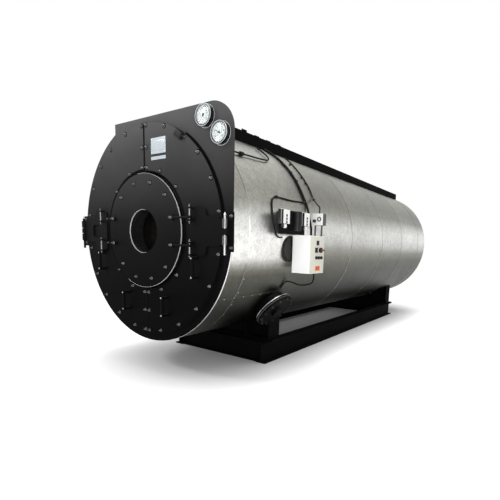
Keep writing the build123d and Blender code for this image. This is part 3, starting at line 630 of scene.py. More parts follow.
def object_mode():
    if bpy.context.object and bpy.context.object.mode != "OBJECT":
        bpy.ops.object.mode_set(mode="OBJECT")


def start(kind, name, at=(0, 0, 0), **sizes):
    """Deselect everything, then add a primitive at its size and place."""
    object_mode()
    bpy.ops.object.select_all(action="DESELECT")
    getattr(bpy.ops.mesh, f"primitive_{kind}_add")(location=at, **sizes)
    piece = bpy.context.object
    piece.name = name
    return piece


def block(name, at, scale):
    """A cube made a block of its own size."""
    piece = start("cube", name, size=1, at=at, scale=scale)
    bpy.ops.object.transform_apply(location=True, rotation=True, scale=True)
    return piece


def choose(piece, test):
    """In edit mode, select the faces whose middle and direction pass a test."""
    bpy.ops.object.mode_set(mode="EDIT")
    bpy.ops.mesh.select_mode(type="FACE")
    bpy.ops.mesh.select_all(action="DESELECT")
    shape = bmesh.from_edit_mesh(piece.data)
    for face in shape.faces:
        face.select_set(bool(test(face.calc_center_median(), face.normal)))
    bmesh.update_edit_mesh(piece.data)


def raise_face(piece, way, inset, height):
    """Inset the faces that point a way, and move them along it."""
    choose(piece, lambda at, out: out.dot(Vector(way)) > 0.9)
    bpy.ops.mesh.inset(thickness=inset)
    bpy.ops.transform.translate(value=[v * height for v in way])


def draw_in(piece, way, by):
    """Make the faces that point a way smaller, which leans the sides inwards."""
    choose(piece, lambda at, out: out.dot(Vector(way)) > 0.9)
    bpy.ops.transform.resize(value=by)
    object_mode()


def bevel_all(piece, width, segments=2):
    """Round every sharp edge a little, as real edges are."""
    object_mode()
    rounding = piece.modifiers.new("rounding", "BEVEL")
    rounding.width, rounding.segments = width, segments
    rounding.limit_method, rounding.angle_limit = "ANGLE", math.radians(40)
    bpy.context.view_layer.objects.active = piece
    bpy.ops.object.modifier_apply(modifier="rounding")


def walled(piece, thickness, offset=1.0):
    """Give an open shell a wall."""
    object_mode()
    wall = piece.modifiers.new("wall", "SOLIDIFY")
    wall.thickness, wall.offset = thickness, offset
    bpy.ops.object.modifier_apply(modifier="wall")


def settle(piece, finish, body="boiler", smooth=40, place=None):
    """Put the place into the mesh, shade it, give it its finish and its body."""
    object_mode()
    if place is not None:
        piece.matrix_world = place
    bpy.ops.object.select_all(action="DESELECT")
    piece.select_set(True)
    bpy.context.view_layer.objects.active = piece
    bpy.ops.object.transform_apply(location=True, rotation=True, scale=True)
    bpy.ops.object.shade_smooth_by_angle(angle=math.radians(smooth))
    piece.data.materials.clear()
    piece.data.materials.append(finish)
    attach(piece, body)


def join(pieces, name):
    """Join several objects into the first one."""
    object_mode()
    bpy.ops.object.select_all(action="DESELECT")
    for piece in pieces:
        piece.select_set(True)
    bpy.context.view_layer.objects.active = pieces[0]
    if len(pieces) > 1:
        bpy.ops.object.join()
    pieces[0].name = name
    return pieces[0]


def at_frame(x, y, z, way):
    """A turn and place with +Z along a way."""
    return Matrix.Translation((x, y, z)) @ Vector(way).to_track_quat("Z", "Y").to_matrix().to_4x4()


def facing(x, y, z, way=FRONT):
    """The same, with y counted from the casing's back and z from the axis."""
    return at_frame(x, CASING_BACK + y, AXIS_Z + z, way)


def sized(x, y, z):
    return Matrix.Diagonal((x, y, z, 1))


def around(radius, degrees):
    """How far a point on a circle is from its middle, in two directions."""
    return radius * math.cos(math.radians(degrees)), radius * math.sin(math.radians(degrees))


def copies(master, name, frames, finish, body="boiler"):
    """Copy a modelled piece to each frame, each copy with its own mesh, and join them."""
    twins = []
    for place in frames:
        twin = bpy.data.objects.new(name, master.data.copy())
        bpy.context.scene.collection.objects.link(twin)
        twin.matrix_world = place
        twins.append(twin)
    settle(join(twins, name), finish, body)


# %% [markdown]
# The front is held by plated hexagon bolts, each with a round washer on a black pad.
# The pad is painted shadow: it darkens the plate round each bolt. There are more than
# seventy of them, so one bolt is modelled once, with a stud through its nut, and then
# copied to every place. The places follow the photograph: round the rim of the half
# doors, in pairs along the seam, and in two rings at the middle.

# %% One bolt, its pad of painted shadow, and one round-headed rivet
BOLT_RADIUS = 0.0078
RIVET_RADIUS = 0.0042
SHADOW_PAD_RADIUS, SHADOW_PAD_THICKNESS = 0.0165, 0.0008

washer = start("cylinder", "washer", vertices=16, radius=BOLT_RADIUS * 1.32,
               depth=BOLT_RADIUS * 0.22, at=(0, 0, BOLT_RADIUS * 0.11))
bevel_all(washer, BOLT_RADIUS * 0.07, 1)
nut = start("cylinder", "nut", vertices=6, radius=BOLT_RADIUS, depth=BOLT_RADIUS * 0.85,
            at=(0, 0, BOLT_RADIUS * 0.645))
raise_face(nut, UP, BOLT_RADIUS * 0.12, BOLT_RADIUS * 0.08)
choose(nut, lambda at, way: way.z > 0.9 and at.xy.length < 0.1 * BOLT_RADIUS)
bpy.ops.mesh.inset(thickness=BOLT_RADIUS * 0.30)
bpy.ops.mesh.extrude_region_move(TRANSFORM_OT_translate={"value": (0, 0, BOLT_RADIUS * 1.05)})
bpy.ops.mesh.inset(thickness=BOLT_RADIUS * 0.10)
bpy.ops.transform.translate(value=(0, 0, BOLT_RADIUS * 0.08))
object_mode()
bolt = join([washer, nut], "bolt_master")
# The pad is a black disc of painted shadow under each bolt.
shadow_pad = start("cylinder", "shadow_pad_master", vertices=20, radius=SHADOW_PAD_RADIUS, depth=SHADOW_PAD_THICKNESS,
            at=(0, 0, SHADOW_PAD_THICKNESS / 2))
bevel_all(shadow_pad, 0.0003, 1)
rivet = start("cylinder", "rivet_master", vertices=8, radius=RIVET_RADIUS, depth=0.0012,
              at=(0, 0, 0.0006))
raise_face(rivet, UP, RIVET_RADIUS * 0.45, 0.0009)
object_mode()
print("bolt faces", len(bolt.data.polygons), "rivet faces", len(rivet.data.polygons))

# %% Bolts on the doors
RIM_CIRCLE = 0.720
RIM_TURNS = (73, 56.5, 43, 27, 10, -11, -28.5, -44.5, -61.5, -78)
SEAM_LEVELS = (0.720, 0.575, 0.438, -0.438, -0.572, -0.720)
SEAM_OFFSET = 0.023
MIDDLE_CIRCLE = 0.436
MIDDLE_TURNS = (-68, -42, 42, 68)
BURNER_CIRCLE = 0.341
BURNER_TURNS = (45, 75, 105, 135, 225, 255, 285, 315)


def on_circle(radius, turns, y, side=1):
    """Frames that face the viewer, round the axis; side -1 gives the mirror places."""
    places = [around(radius, turn) for turn in turns]
    return [facing(side * x, y, z) for x, z in places]


for side, word in SIDES:
    spots = on_circle(RIM_CIRCLE, RIM_TURNS, DOOR_Y, side)
    spots += on_circle(MIDDLE_CIRCLE, MIDDLE_TURNS, DOOR_Y, side)
    spots += [facing(side * SEAM_OFFSET, DOOR_Y, z) for z in SEAM_LEVELS]
    copies(bolt, f"door_bolts_{word}", spots, bolt_steel, f"door_{word}")
    # Black pads of painted shadow under the bolts.
    copies(shadow_pad, f"door_bolt_pads_{word}", spots, painted_shade_black, f"door_{word}")
print("bolts on each half door", len(spots))
spots = on_circle(BURNER_CIRCLE, BURNER_TURNS, BURNER_Y)
copies(bolt, "burner_door_bolts", spots, bolt_steel, "burner_door")
copies(shadow_pad, "burner_door_bolt_pads", spots, painted_shade_black, "burner_door")

# %% Bolts on the hinges, links and pins
HINGE_X, HINGE_Y, HINGE_TOP = 0.776, -0.053, 0.100
HINGE_PLATE_Y, HINGE_BOLT_X, HINGE_BOLT_LEVEL = -0.022, 0.801, 0.095
LINK_PIN_X, LINK_PIN_Y = 0.495, -0.075
LINK_PIN_ENDS = ((0.155, UP), (0.065, DOWN), (-0.065, UP), (-0.155, DOWN))
LINK_FOOT_X, LINK_FOOT_FRONT = 0.322, -0.082
LINK_TIP_X = 0.395
LINK_LEVELS = (-0.090, 0.090)
spots = [
    facing(x, HINGE_PLATE_Y, z)
    for x in (-HINGE_BOLT_X, HINGE_BOLT_X) for z in (-HINGE_BOLT_LEVEL, HINGE_BOLT_LEVEL)
]
copies(bolt, "hinge_bolts", spots, bolt_steel)
heads = [facing(x, HINGE_Y, HINGE_TOP, UP) for x in (-HINGE_X, HINGE_X)]
copies(bolt, "hinge_pin_heads", heads, bright_steel)
for side, word in SIDES:
    spots = [facing(side * LINK_PIN_X, LINK_PIN_Y, z, way) for z, way in LINK_PIN_ENDS]
    copies(bolt, f"link_pin_nuts_{word}", spots, bolt_steel, f"door_{word}")
spots = [facing(x, LINK_FOOT_FRONT, z) for x in (-LINK_FOOT_X, LINK_FOOT_X) for z in LINK_LEVELS]
spots += [facing(-LINK_TIP_X, LINK_PIN_Y, z, (-1, 0, 0)) for z in LINK_LEVELS]
copies(bolt, "link_nuts", spots, bolt_steel, "burner_door")
print("link nuts", len(spots))

# %% [markdown]
# The round openings have bare machined edges that catch the light as thin bright
# lines: the rim of the burner door, the mouth of its port, and the lower edge of the
# front plate. Each line is a short tube made from an open cylinder, given a wall by
# Solidify, and cut to the stretch of the circle that it covers. That stretch is where
# the edge shows a highlight, so each bright strip is partly a painted highlight. A black
# band behind the burner door's bright rim is painted shade on the rest of its side.

# %% The bright edges of the front, partly painted highlights, and a band of painted shade
def edge_band(name, radius, y_front, depth, wall, finish, keep, body="boiler"):
    """A short tube round the axis; keep takes the degrees round it and may refuse a face."""
    band = start("cylinder", name, at=(0, CASING_BACK + y_front + depth / 2, AXIS_Z),
                 vertices=160, radius=radius, depth=depth, end_fill_type="NOTHING",
                 rotation=(math.pi / 2, 0, 0))
    bpy.ops.object.transform_apply(location=False, rotation=True, scale=True)
    choose(band, lambda at, way: not keep(math.degrees(math.atan2(at.z, at.x))))
    bpy.ops.mesh.delete(type="FACE")
    walled(band, wall)
    settle(band, finish, body, 50)


def on_right(turn):
    return -118 < turn < 97


def left_of_port(turn):
    return abs(turn) > 78


def in_lower_half(turn):
    return turn < 4


# Each edge has its radius, its front, its depth, its wall, its finish, its stretch, its body.
# The bright strips are partly painted highlights; the black band on the burner door's side is
# painted shade.
FRONT_EDGES = {
    "burner_door_edge": (
        0.3981, BURNER_Y - 0.0004, 0.0065, 0.0012, ground_edge_highlight, on_right, "burner_door"
    ),
    "burner_door_shade_band": (
        0.3981, BURNER_Y + 0.0065, 0.0175, 0.0012, painted_shade_black, on_right, "burner_door"
    ),
    "port_edge": (
        0.1512, BURNER_Y - 0.0004, 0.007, 0.0014, ground_edge_highlight, left_of_port, "burner_door"
    ),
    "casing_edge": (0.8002, -0.0115, 0.009, 0.0008, bright_steel, in_lower_half, "boiler"),
}
for name, measures in FRONT_EDGES.items():
    edge_band(name, *measures)
print("edges of the front", len(FRONT_EDGES))

# %% [markdown]
# The gaps and edges round the doors lie in shade, and black rings and strips are laid
# there as painted shade. Seen from the front, they are dark lines round the doors and
# down the seam between them. A ring is flat: a circle is extruded to a larger one, cut
# to the stretch of the ring that the doors leave open, and given its thickness.

# %% Black rings and strips of painted shade round the doors
def flat_up(x, y, z):
    """A frame on the front: its +Z faces the viewer and its +Y is up."""
    return Matrix.Translation((x, CASING_BACK + y, AXIS_Z + z)) @ turned(90, "X")


def flat_ring(name, inner, outer, y_front, thickness, keep, body, shift=0.0):
    """A flat ring that faces the viewer; shift moves its outer edge sideways."""
    ring = start("circle", name, vertices=144, radius=inner, fill_type="NOTHING")
    bpy.ops.object.mode_set(mode="EDIT")
    bpy.ops.mesh.select_all(action="SELECT")
    bpy.ops.mesh.extrude_edges_move(TRANSFORM_OT_translate={"value": (0, 0, 0)})
    bpy.ops.transform.resize(value=(outer / inner, outer / inner, 1))
    bpy.ops.transform.translate(value=(shift, 0, 0))
    choose(ring, lambda at, way: not keep(math.degrees(math.atan2(at.y, at.x))))
    bpy.ops.mesh.delete(type="FACE")
    bpy.ops.mesh.select_all(action="SELECT")
    bpy.ops.mesh.normals_make_consistent(inside=False)
    walled(ring, thickness, 0.0)
    settle(ring, painted_shade_black, body, place=flat_up(0, y_front + thickness / 2, 0))


# Each ring of painted shade has its two radii, its front, its thickness, its stretch and its body.
CASING_SHADE_RING = (0.728, 0.749, -0.0158, 0.0036, lambda turn: -125 < turn < 57, "boiler")
LEFT_SHADE_RING = (0.4115, 0.4310, DOOR_Y - 0.0012, 0.0016,
             lambda turn: turn > 90.5 or turn < -125, "door_left")
RIGHT_SHADE_RING = (0.4115, 0.4200, DOOR_Y - 0.0012, 0.0016,
              lambda turn: -85 < turn < 89.5, "door_right")
# The left ring's outer edge is moved left, where the painted shadow is wider.
LEFT_SHADE_SHIFT = -0.019
flat_ring("casing_shade_ring", *CASING_SHADE_RING)
flat_ring("burner_shade_ring_left", *LEFT_SHADE_RING, LEFT_SHADE_SHIFT)
flat_ring("burner_shade_ring_right", *RIGHT_SHADE_RING)
# Black bands of painted shade on the edges of the half doors.
for side, word in SIDES:
    edge_band(f"door_side_{word}", 0.7372, DOOR_Y + 0.0012, 0.0145, 0.0006, painted_shade_black,
              lambda turn: side * math.cos(math.radians(turn)) > 0.012, f"door_{word}")
# Black strips of painted shade down the seam between the doors.
for low, high, word in ((0.415, 0.732, "upper"), (-0.732, -0.415, "lower")):
    strip = block(f"seam_strip_{word}",
                  (-0.0030, CASING_BACK + DOOR_Y - 0.0004, AXIS_Z + (low + high) / 2),
                  (0.0125, 0.0012, high - low))
    raise_face(strip, FRONT, 0.0015, 0.0004)
    settle(strip, painted_shade_black, "door_left")
print("seals done")

# %% [markdown]
# Two pressure gauges sit in the corner of the front plate. A gauge is a black case
# behind a dark metal bezel with a bright rim, with a flange of the same metal against
# the plate, a white dial with ticks and plain numbers, and a thin black needle under
# glass. The case and the bezel come in from the frame; the rest is made here for one
# gauge at a time, from its middle outwards.

# %% The dials of the pressure gauges
# Each gauge has its place, the turn of its needle and the needle's length in radii.
GAUGES = ((0.580, 0.700, -128, 1.2), (0.711, 0.583, 154, 0.85))
GAUGE_DIAL_Y = -0.0402
DIAL_RADIUS = 0.0548
TICK_START, TICK_END, TICK_STEPS = -135, 135, 20
NUMBER_SIZE = 0.011


def disc(name, finish, place, radius, depth, sides=64):
    """A round plate with its back at a place."""
    plate = start("cylinder", name, vertices=sides, radius=radius, depth=depth,
                  at=(0, 0, depth / 2))
    raise_face(plate, UP, min(radius * 0.04, depth * 0.5), depth * 0.25)
    object_mode()
    bpy.ops.object.transform_apply(location=True)
    settle(plate, finish, place=place)


tick = block("tick_master", (0, DIAL_RADIUS * 0.86, 0.0004), (0.0012, 0.0065, 0.0006))
draw_in(tick, (0, 1, 0), (0.7, 1, 1))


def dial_number(text, frame_at, turn):
    """One number of the dial, as flat text made a mesh."""
    object_mode()
    bpy.ops.object.select_all(action="DESELECT")
    bpy.ops.object.text_add()
    number = bpy.context.object
    number.data.body = text
    number.data.size = NUMBER_SIZE
    number.data.align_x, number.data.align_y = "CENTER", "CENTER"
    number.data.extrude = 0.0002
    bpy.ops.object.convert(target="MESH")
    up, across = around(DIAL_RADIUS * 0.64, turn)
    number.matrix_world = frame_at @ Matrix.Translation((across, up, 0.0006))
    return number


for count, (x, z, needle_turn, needle_length) in enumerate(GAUGES):
    disc(f"gauge_dial_{count}", dial_white, facing(x, GAUGE_DIAL_Y, z), DIAL_RADIUS, 0.0008)
    frame_at = flat_up(x, GAUGE_DIAL_Y - 0.001, z)
    turns = [
        TICK_START + step * (TICK_END - TICK_START) / TICK_STEPS for step in range(TICK_STEPS + 1)
    ]
    places = [
        frame_at @ turned(-turn) @ sized(0.7 if step % 4 else 1.5, 1, 1)
        for step, turn in enumerate(turns)
    ]
    copies(tick, f"gauge_ticks_{count}", places, ink_black)
    numbers = [dial_number(str(2 * step), frame_at, turns[4 * step]) for step in range(6)]
    settle(join(numbers, f"gauge_numbers_{count}"), ink_black)
print("dials", len(GAUGES), "ticks", len(turns))

# %% The needles, flanges, case skins and glass of the gauges
GAUGE_PLATE_Y = -0.012
GAUGE_GLASS_Y = -0.0438
GAUGE_RIMS = (("flange", 0.0690, GAUGE_PLATE_Y - 0.0030), ("bezel", 0.0645, -0.0452))
RIM_WIRE = 0.0016
FLANGE_RADIUS, CASE_RADIUS, GLASS_RADIUS, HUB_RADIUS = 0.0695, 0.0606, 0.0549, 0.0068
NEEDLE_WIDTH, NEEDLE_TAIL = 0.0044, 0.2
for count, (x, z, needle_turn, needle_length) in enumerate(GAUGES):
    middle = (needle_length / 2 - NEEDLE_TAIL) * DIAL_RADIUS
    needle = block(f"gauge_needle_{count}", (middle, 0, 0),
                   (needle_length * DIAL_RADIUS, NEEDLE_WIDTH, 0.0009))
    draw_in(needle, SIDE, (1, 0.45, 1))
    hub = start("cylinder", "hub", vertices=20, radius=HUB_RADIUS, depth=0.003)
    bevel_all(hub, 0.0008)
    needle = join([needle, hub], f"gauge_needle_{count}")
    settle(needle, ink_black,
           place=flat_up(x, GAUGE_DIAL_Y - 0.0022, z) @ turned(needle_turn))
    disc(f"gauge_flange_{count}", chrome, facing(x, GAUGE_PLATE_Y, z), FLANGE_RADIUS, 0.003)
    for word, radius, y in GAUGE_RIMS:
        rim = start("torus", f"gauge_{word}_rim_{count}", major_radius=radius,
                    minor_radius=RIM_WIRE, major_segments=72, minor_segments=8)
        choose(rim, lambda at, way: at.z < 0)
        bpy.ops.transform.resize(value=(1, 1, 0.6))
        object_mode()
        settle(rim, bright_steel, place=facing(x, y, z))
    skin = start("cylinder", f"gauge_case_{count}", vertices=64, radius=CASE_RADIUS, depth=0.018,
                 end_fill_type="NOTHING")
    walled(skin, 0.001)
    settle(skin, black_plastic, place=facing(x, GAUGE_PLATE_Y - 0.0125, z))
    disc(f"gauge_glass_{count}", gauge_glass, facing(x, GAUGE_GLASS_Y, z), GLASS_RADIUS, 0.001)
print("gauges dressed")

# %% [markdown]
# The control box is a folded steel box with a cream lid that faces the operator. The
# lid is also darker than the white box, and that part of its tone is painted shade.
# The lid is a plate with rounded corners, held by four screws, and it carries a label
# in signal orange. The rotary switch gets a pale collar and a red grip. Every part
# starts as a cube at its true size, and a bevel or an inset gives it its edge.

# %% The lid and the marks of the control box
BOX_LOW, BOX_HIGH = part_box("control_box")
GRIP_FACE_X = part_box("box_controls")[1].x
LID_THICKNESS = 0.0018
LID_INSET = 0.003
LID_BACK = BOX_HIGH.x
LID_FACE = LID_BACK + LID_THICKNESS
SCREW_INSET = 0.016
LABEL_Y, LABEL_Z = 0.016, BOX_HIGH.z - 0.243
ISOLATOR_Z = BOX_HIGH.z - 0.106


def slab(name, low, high, edge=0.001, inset=None, way=SIDE):
    """A block between two corners, with the face that points a way inset and raised."""
    size = [b - a for a, b in zip(low, high)]
    middle = [(a + b) / 2 for a, b in zip(low, high)]
    piece = block(name, middle, size)
    raise_face(piece, way, inset or edge, edge * 0.5)
    object_mode()
    bevel_all(piece, edge)
    return piece


box_lid = slab("box_lid", (LID_BACK - 0.0005, BOX_LOW.y + LID_INSET, BOX_LOW.z + LID_INSET),
               (LID_FACE, BOX_HIGH.y - LID_INSET, BOX_HIGH.z - LID_INSET), 0.0009)
settle(box_lid, lid_paint)
screw = start("cylinder", "screw_master", vertices=14, radius=0.0038, depth=0.002,
              at=(0, 0, 0.001))
raise_face(screw, UP, 0.0010, 0.0007)
bpy.ops.mesh.inset(thickness=0.0012)
bpy.ops.transform.translate(value=(0, 0, -0.0011))
object_mode()
corners = [
    at_frame(LID_FACE, y, z, SIDE)
    for y in (BOX_LOW.y + SCREW_INSET, BOX_HIGH.y - SCREW_INSET)
    for z in (BOX_LOW.z + SCREW_INSET, BOX_HIGH.z - SCREW_INSET)
]
copies(screw, "box_lid_screws", corners, zinc)
label = slab("box_label", (LID_FACE, LABEL_Y - 0.037, LABEL_Z - 0.019),
             (LID_FACE + 0.0012, LABEL_Y + 0.037, LABEL_Z + 0.019), 0.0004, 0.003)
settle(label, label_orange)
bars = [
    slab("bar", (LID_FACE + 0.0012, LABEL_Y + y - 0.009, LABEL_Z - 0.011),
         (LID_FACE + 0.0018, LABEL_Y + y + 0.009, LABEL_Z + 0.011), 0.0002)
    for y in (-0.013, 0.013)
]
settle(join(bars, "box_label_bars"), signal_red)
disc("isolator_collar", white_plastic, at_frame(LID_BACK + 0.0055, 0.022, ISOLATOR_Z, SIDE),
     0.0185, 0.004, 32)
grip = slab("isolator_grip", (GRIP_FACE_X - 0.011, 0.026, ISOLATOR_Z - 0.0075),
            (GRIP_FACE_X + 0.0006, 0.079, ISOLATOR_Z + 0.0075), 0.002)
settle(grip, signal_red)
print("lid", round(box_lid.dimensions.y, 3), "by", round(box_lid.dimensions.z, 3))

# %% Marks and glands of the switches
SWITCH_MIDDLES = (SWITCH_LOW.y + 0.042, SWITCH_HIGH.y - 0.042)
MARK_LEVELS = (0.028, 0.050, 0.072)
strips = [
    slab("strip", (SWITCH_HIGH.x - 0.031, y - 0.0405, SWITCH_LOW.z + 0.026),
         (SWITCH_HIGH.x - 0.019, y + 0.0405, SWITCH_HIGH.z + 0.0008), 0.0006, None, FRONT)
    for y in SWITCH_MIDDLES
]
settle(join(strips, "switch_strips"), white_plastic)
marks = [
    slab("mark", (SWITCH_HIGH.x, y - 0.008, SWITCH_LOW.z + z),
         (SWITCH_HIGH.x + 0.0012, y + 0.010, SWITCH_LOW.z + z + 0.017), 0.0004)
    for y in SWITCH_MIDDLES for z in MARK_LEVELS
]
settle(join(marks, "switch_marks"), ink_black)
glands = []
for y in SWITCH_MIDDLES:
    gland = start("cylinder", "gland", vertices=20, radius=0.0126, depth=0.022,
                  at=(SWITCH_HIGH.x - 0.0133, y, SWITCH_LOW.z + 0.010))
    choose(gland, lambda at, way: way.z < -0.9)
    bpy.ops.mesh.inset(thickness=0.003)
    bpy.ops.mesh.extrude_region_move(TRANSFORM_OT_translate={"value": (0, 0, -0.003)})
    bevel_all(gland, 0.0008)
    glands.append(gland)
settle(join(glands, "switch_glands"), white_plastic)
print("switch marks", len(marks))

# %% The lid, the mark and the gland of the junction box
JUNCTION_X = (JUNCTION_LOW.x + JUNCTION_HIGH.x) / 2
JUNCTION_FRONT = JUNCTION_LOW.y
JUNCTION_TOP = JUNCTION_HIGH.z
JUNCTION_Z = JUNCTION_TOP - 0.044
lid = slab("junction_lid", (JUNCTION_LOW.x + 0.002, JUNCTION_FRONT - 0.003, JUNCTION_TOP - 0.086),
           (JUNCTION_HIGH.x - 0.002, JUNCTION_FRONT + 0.001, JUNCTION_TOP - 0.002), 0.001, None,
           FRONT)
settle(lid, white_plastic)
ring = start("torus", "junction_mark", major_radius=0.014, minor_radius=0.0042,
             major_segments=28, minor_segments=8)
choose(ring, lambda at, way: at.z > 0.002)
bpy.ops.transform.resize(value=(1, 1, 0.4))
object_mode()
mark_place, gland_place = (
    at_frame(JUNCTION_X + x, JUNCTION_FRONT + y, JUNCTION_Z + z, FRONT)
    for x, y, z in ((0.018, -0.0035, 0.002), (-0.018, -0.003, -0.012))
)
settle(ring, ink_black, place=mark_place)
disc("junction_gland", ink_black, gland_place, 0.0115, 0.016, 24)
print("junction box dressed")

# %% [markdown]
# The cables are held to the cladding by small black saddles. One saddle is modelled
# as a block whose sides are drawn in, and it is copied to the places where the
# photograph shows the cables tied down. Each place is given by how far along the
# drum it is and by its turn round the axis.

# %% Saddles of the cables
CABLE_SADDLES = ((0.118, 46.4), (0.141, 40.1), (0.149, 34.0), (0.122, 19.9), (-0.258, 19.9))
SENSOR_SADDLES = ((0.286, 50.4), (0.306, 39.3), (0.311, 34.8), (0.330, 23.7))
saddle = block("saddle_master", (0, 0, 0.009), (0.017, 0.032, 0.019))
draw_in(saddle, UP, (0.85, 0.62, 1))
bevel_all(saddle, 0.002)


def on_drum(radius, turn, y, spin=0.0):
    """A frame on the drum, with +Z straight out and +X along the drum."""
    x, z = around(1.0, turn)
    out, along = Vector((x, 0, z)), Vector((0, 1, 0))
    turn_to = Matrix((along, out.cross(along), out)).transposed().to_4x4()
    return Matrix.Translation((radius * x, y, AXIS_Z + radius * z)) @ turn_to @ turned(spin)


places = [on_drum(CLADDING_RADIUS, turn, y, 90) for y, turn in CABLE_SADDLES]
places += [
    on_drum(CLADDING_RADIUS, turn, y, 90) @ sized(0.8, 0.6, 0.75) for y, turn in SENSOR_SADDLES
]
copies(saddle, "cable_saddles", places, black_plastic)
print("saddles", len(places))

# %% [markdown]
# The cladding sheets are riveted where they overlap. A lap runs right round the drum,
# and one seam runs along it low on the side. The rivets are small and many, so each
# copy has only a few faces. Each lap gets a thin light band at its edge, a painted
# highlight; on the later laps it also covers the shade in the groove, and on the first
# it is kept to a stretch low down.

# %% Seams and rivets of the cladding
LAPS_Y = (-0.600, 1.035, 1.935, 2.710, 3.545)
LAP_RIVETS = 46
SEAM_TURN = -33.4
seam_place = Matrix.Translation((0, 0, AXIS_Z)) @ turned(-SEAM_TURN, "Y")


def under_walkway(turn):
    return 62 < turn < 118


seam = slab("cladding_seam", (CLADDING_RADIUS - 0.0004, CASING_BACK + 0.01, -0.014),
            (CLADDING_RADIUS + 0.0016, 0.0, 0.014), 0.0004)
settle(seam, cladding_steel, place=seam_place)
gap = slab("cladding_seam_line", (CLADDING_RADIUS - 0.001, CASING_BACK + 0.01, 0.0142),
           (CLADDING_RADIUS + 0.0010, 0.005, 0.0185), 0.0003)
settle(gap, ink_black, place=seam_place)
turns = [-84 + step * 348 / (LAP_RIVETS - 1) for step in range(LAP_RIVETS)]
places = [
    on_drum(CLADDING_RADIUS + 0.0014, turn, y + 0.015)
    for y in LAPS_Y for turn in turns if not under_walkway(turn)
]
places += [on_drum(CLADDING_RADIUS, -53.5, 0.42 + 0.09 * step) for step in range(7)]
places += [
    on_drum(CLADDING_RADIUS + 0.0012, SEAM_TURN + 0.3, -0.70 + 0.1 * step) for step in range(7)
]
copies(rivet, "cladding_rivets", places, zinc)
# The lap bands are painted highlights.
edge_band("lap_edge", CLADDING_RADIUS + 0.0012, LAPS_Y[0] - CASING_BACK - 0.002, 0.0045, 0.0006,
          lap_edge_highlight, lambda turn: -58 < turn < -16)
for count, y in enumerate(LAPS_Y[1:]):
    edge_band(f"lap_line_{count}", CLADDING_RADIUS + 0.0012, y - CASING_BACK - 0.0035, 0.0045,
              0.0006, lap_line_highlight, lambda turn: not under_walkway(turn))
print("rivets", len(places))

# %% [markdown]
# The hatch low on the side is closed by a cover on a flange, with hexagon bolts round
# it. The turned edge of the flange is bare and shines, and a grey gasket shows under
# it. The level sensor's flange behind the control box has bolts of the same kind. Both
# sets of bolts get a darker steel than the others, as painted shade.

# %% Bolts and bright edge of the hatch, and bolts of the sensor flange
HATCH_TURN, HATCH_Y = -42.0, -0.075
HATCH_FACE = 0.886
HATCH_RADIUS, HATCH_BOLT_CIRCLE = 0.1648, 0.147
PROBE_BOLT_CIRCLE = 0.0905
TWELVE_TURNS = range(0, 360, 30)
hatch_frame = on_drum(0.0, HATCH_TURN, HATCH_Y)
places = [
    hatch_frame @ Matrix.Translation((*around(HATCH_BOLT_CIRCLE, turn), HATCH_FACE))
    for turn in TWELVE_TURNS
]
copies(bolt, "hatch_bolts", places, bolt_painted_shade)
for name, reach, depth, finish in (
    ("hatch_edge", 0.850, 0.006, bright_steel), ("hatch_gasket", 0.8675, 0.003, gasket_grey)
):
    hoop = start("cylinder", name, vertices=96, radius=HATCH_RADIUS, depth=depth,
                 end_fill_type="NOTHING")
    walled(hoop, 0.0016)
    settle(hoop, finish, smooth=50, place=hatch_frame @ Matrix.Translation((0, 0, reach)))
PROBE_LOW, PROBE_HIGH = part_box("probe_head")
probe_y, probe_z = (PROBE_LOW.y + PROBE_HIGH.y) / 2, (PROBE_LOW.z + PROBE_HIGH.z) / 2
places = []
for turn in TWELVE_TURNS:
    y, z = around(PROBE_BOLT_CIRCLE, turn)
    spot = at_frame(PROBE_HIGH.x - 0.005, probe_y + y, probe_z + z, SIDE)
    places.append(spot @ sized(0.6, 0.6, 0.6))
copies(bolt, "probe_bolts", places, bolt_painted_shade)
print("bolts on the hatch", len(TWELVE_TURNS))

# %% [markdown]
# The doors still lack their small fittings: the raised panel of the blank name plate
# and its rivets, a lug at the top of the right door, and the screws in the ends of
# the pull handles.

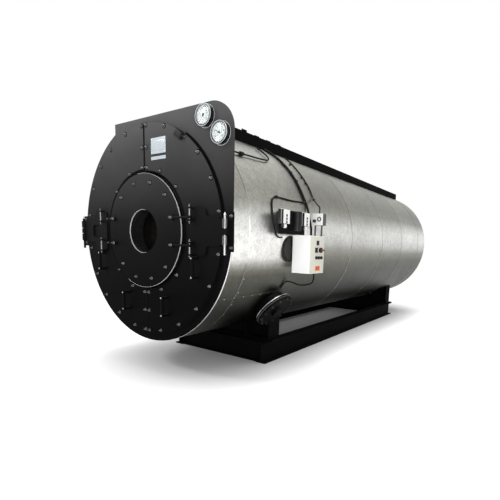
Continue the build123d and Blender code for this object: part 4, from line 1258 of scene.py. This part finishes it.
# %% Small fittings of the doors
LUG_TURN, LUG_CIRCLE, LUG_LEAN = 59.0, 0.716, 35
HANDLE_PLACES = ((0.520, -0.232), (0.220, -0.520))
HANDLE_HALF, HANDLE_FRONT = 0.0625, 0.0545
PLATE_LOW, PLATE_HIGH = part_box("name_plate")
places = [
    at_frame(x, PLATE_LOW.y, z, FRONT) @ sized(0.75, 0.75, 0.75)
    for x in (PLATE_LOW.x + 0.009, PLATE_HIGH.x - 0.009)
    for z in (PLATE_HIGH.z - 0.009, PLATE_HIGH.z - 0.095)
]
copies(rivet, "name_plate_rivets", places, bright_steel, "door_right")
panel = slab("name_plate_panel", (PLATE_LOW.x + 0.018, PLATE_LOW.y - 0.0008, PLATE_HIGH.z - 0.086),
             (PLATE_HIGH.x - 0.018, PLATE_LOW.y + 0.0004, PLATE_HIGH.z - 0.018), 0.0004, 0.004,
             FRONT)
settle(panel, plate_metal, "door_right")
lug = slab("door_lug", (-0.032, -0.022, -0.002), (0.032, 0.022, 0.026), 0.003, 0.006, UP)
lug_x, lug_z = around(LUG_CIRCLE, LUG_TURN)
settle(lug, black_plastic, "door_right",
       place=facing(lug_x, DOOR_Y, lug_z) @ turned(-LUG_LEAN))
for side, word in SIDES:
    places = [
        facing(side * x, DOOR_Y - HANDLE_FRONT, z + level) @ sized(1.5, 1.5, 1.0)
        for x, z in HANDLE_PLACES for level in (-HANDLE_HALF, HANDLE_HALF)
    ]
    copies(screw, f"handle_screws_{word}", places, zinc, f"door_{word}")
print("small fittings done")

# %% [markdown]
# The walkway has raised treads, which are short studs that lean left and right by
# turns. The rear cover is screwed to the last sheet of the cladding.

# %% Treads of the walkway and screws of the rear cover
TREAD_ROWS, TREAD_COLUMNS = 84, 11
COVER_CIRCLE = 0.778
DECK_LOW, DECK_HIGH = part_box("walkway_deck")
stud = block("tread_master", (0, 0, 0.0006), (0.030, 0.006, 0.0014))
draw_in(stud, UP, (0.7, 0.5, 1))
places = [
    Matrix.Translation((-0.30 + column * 0.06, DECK_LOW.y + 0.04 + row * 0.052, DECK_HIGH.z))
    @ turned(45 if (row + column) % 2 else -45)
    for row in range(TREAD_ROWS) for column in range(TREAD_COLUMNS)
]
copies(stud, "walkway_treads", places, skid_paint)
cover_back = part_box("rear_cover")[1].y
places = []
for turn in range(0, 360, 10):
    x, z = around(COVER_CIRCLE, turn)
    places.append(at_frame(x, cover_back, AXIS_Z + z, REAR))
copies(screw, "rear_cover_screws", places, zinc)
print("treads", TREAD_ROWS * TREAD_COLUMNS, "rear screws", len(places))

# %% The masters have done their work
object_mode()
for master in (bolt, shadow_pad, rivet, tick, screw, saddle, stud):
    bpy.data.objects.remove(master)
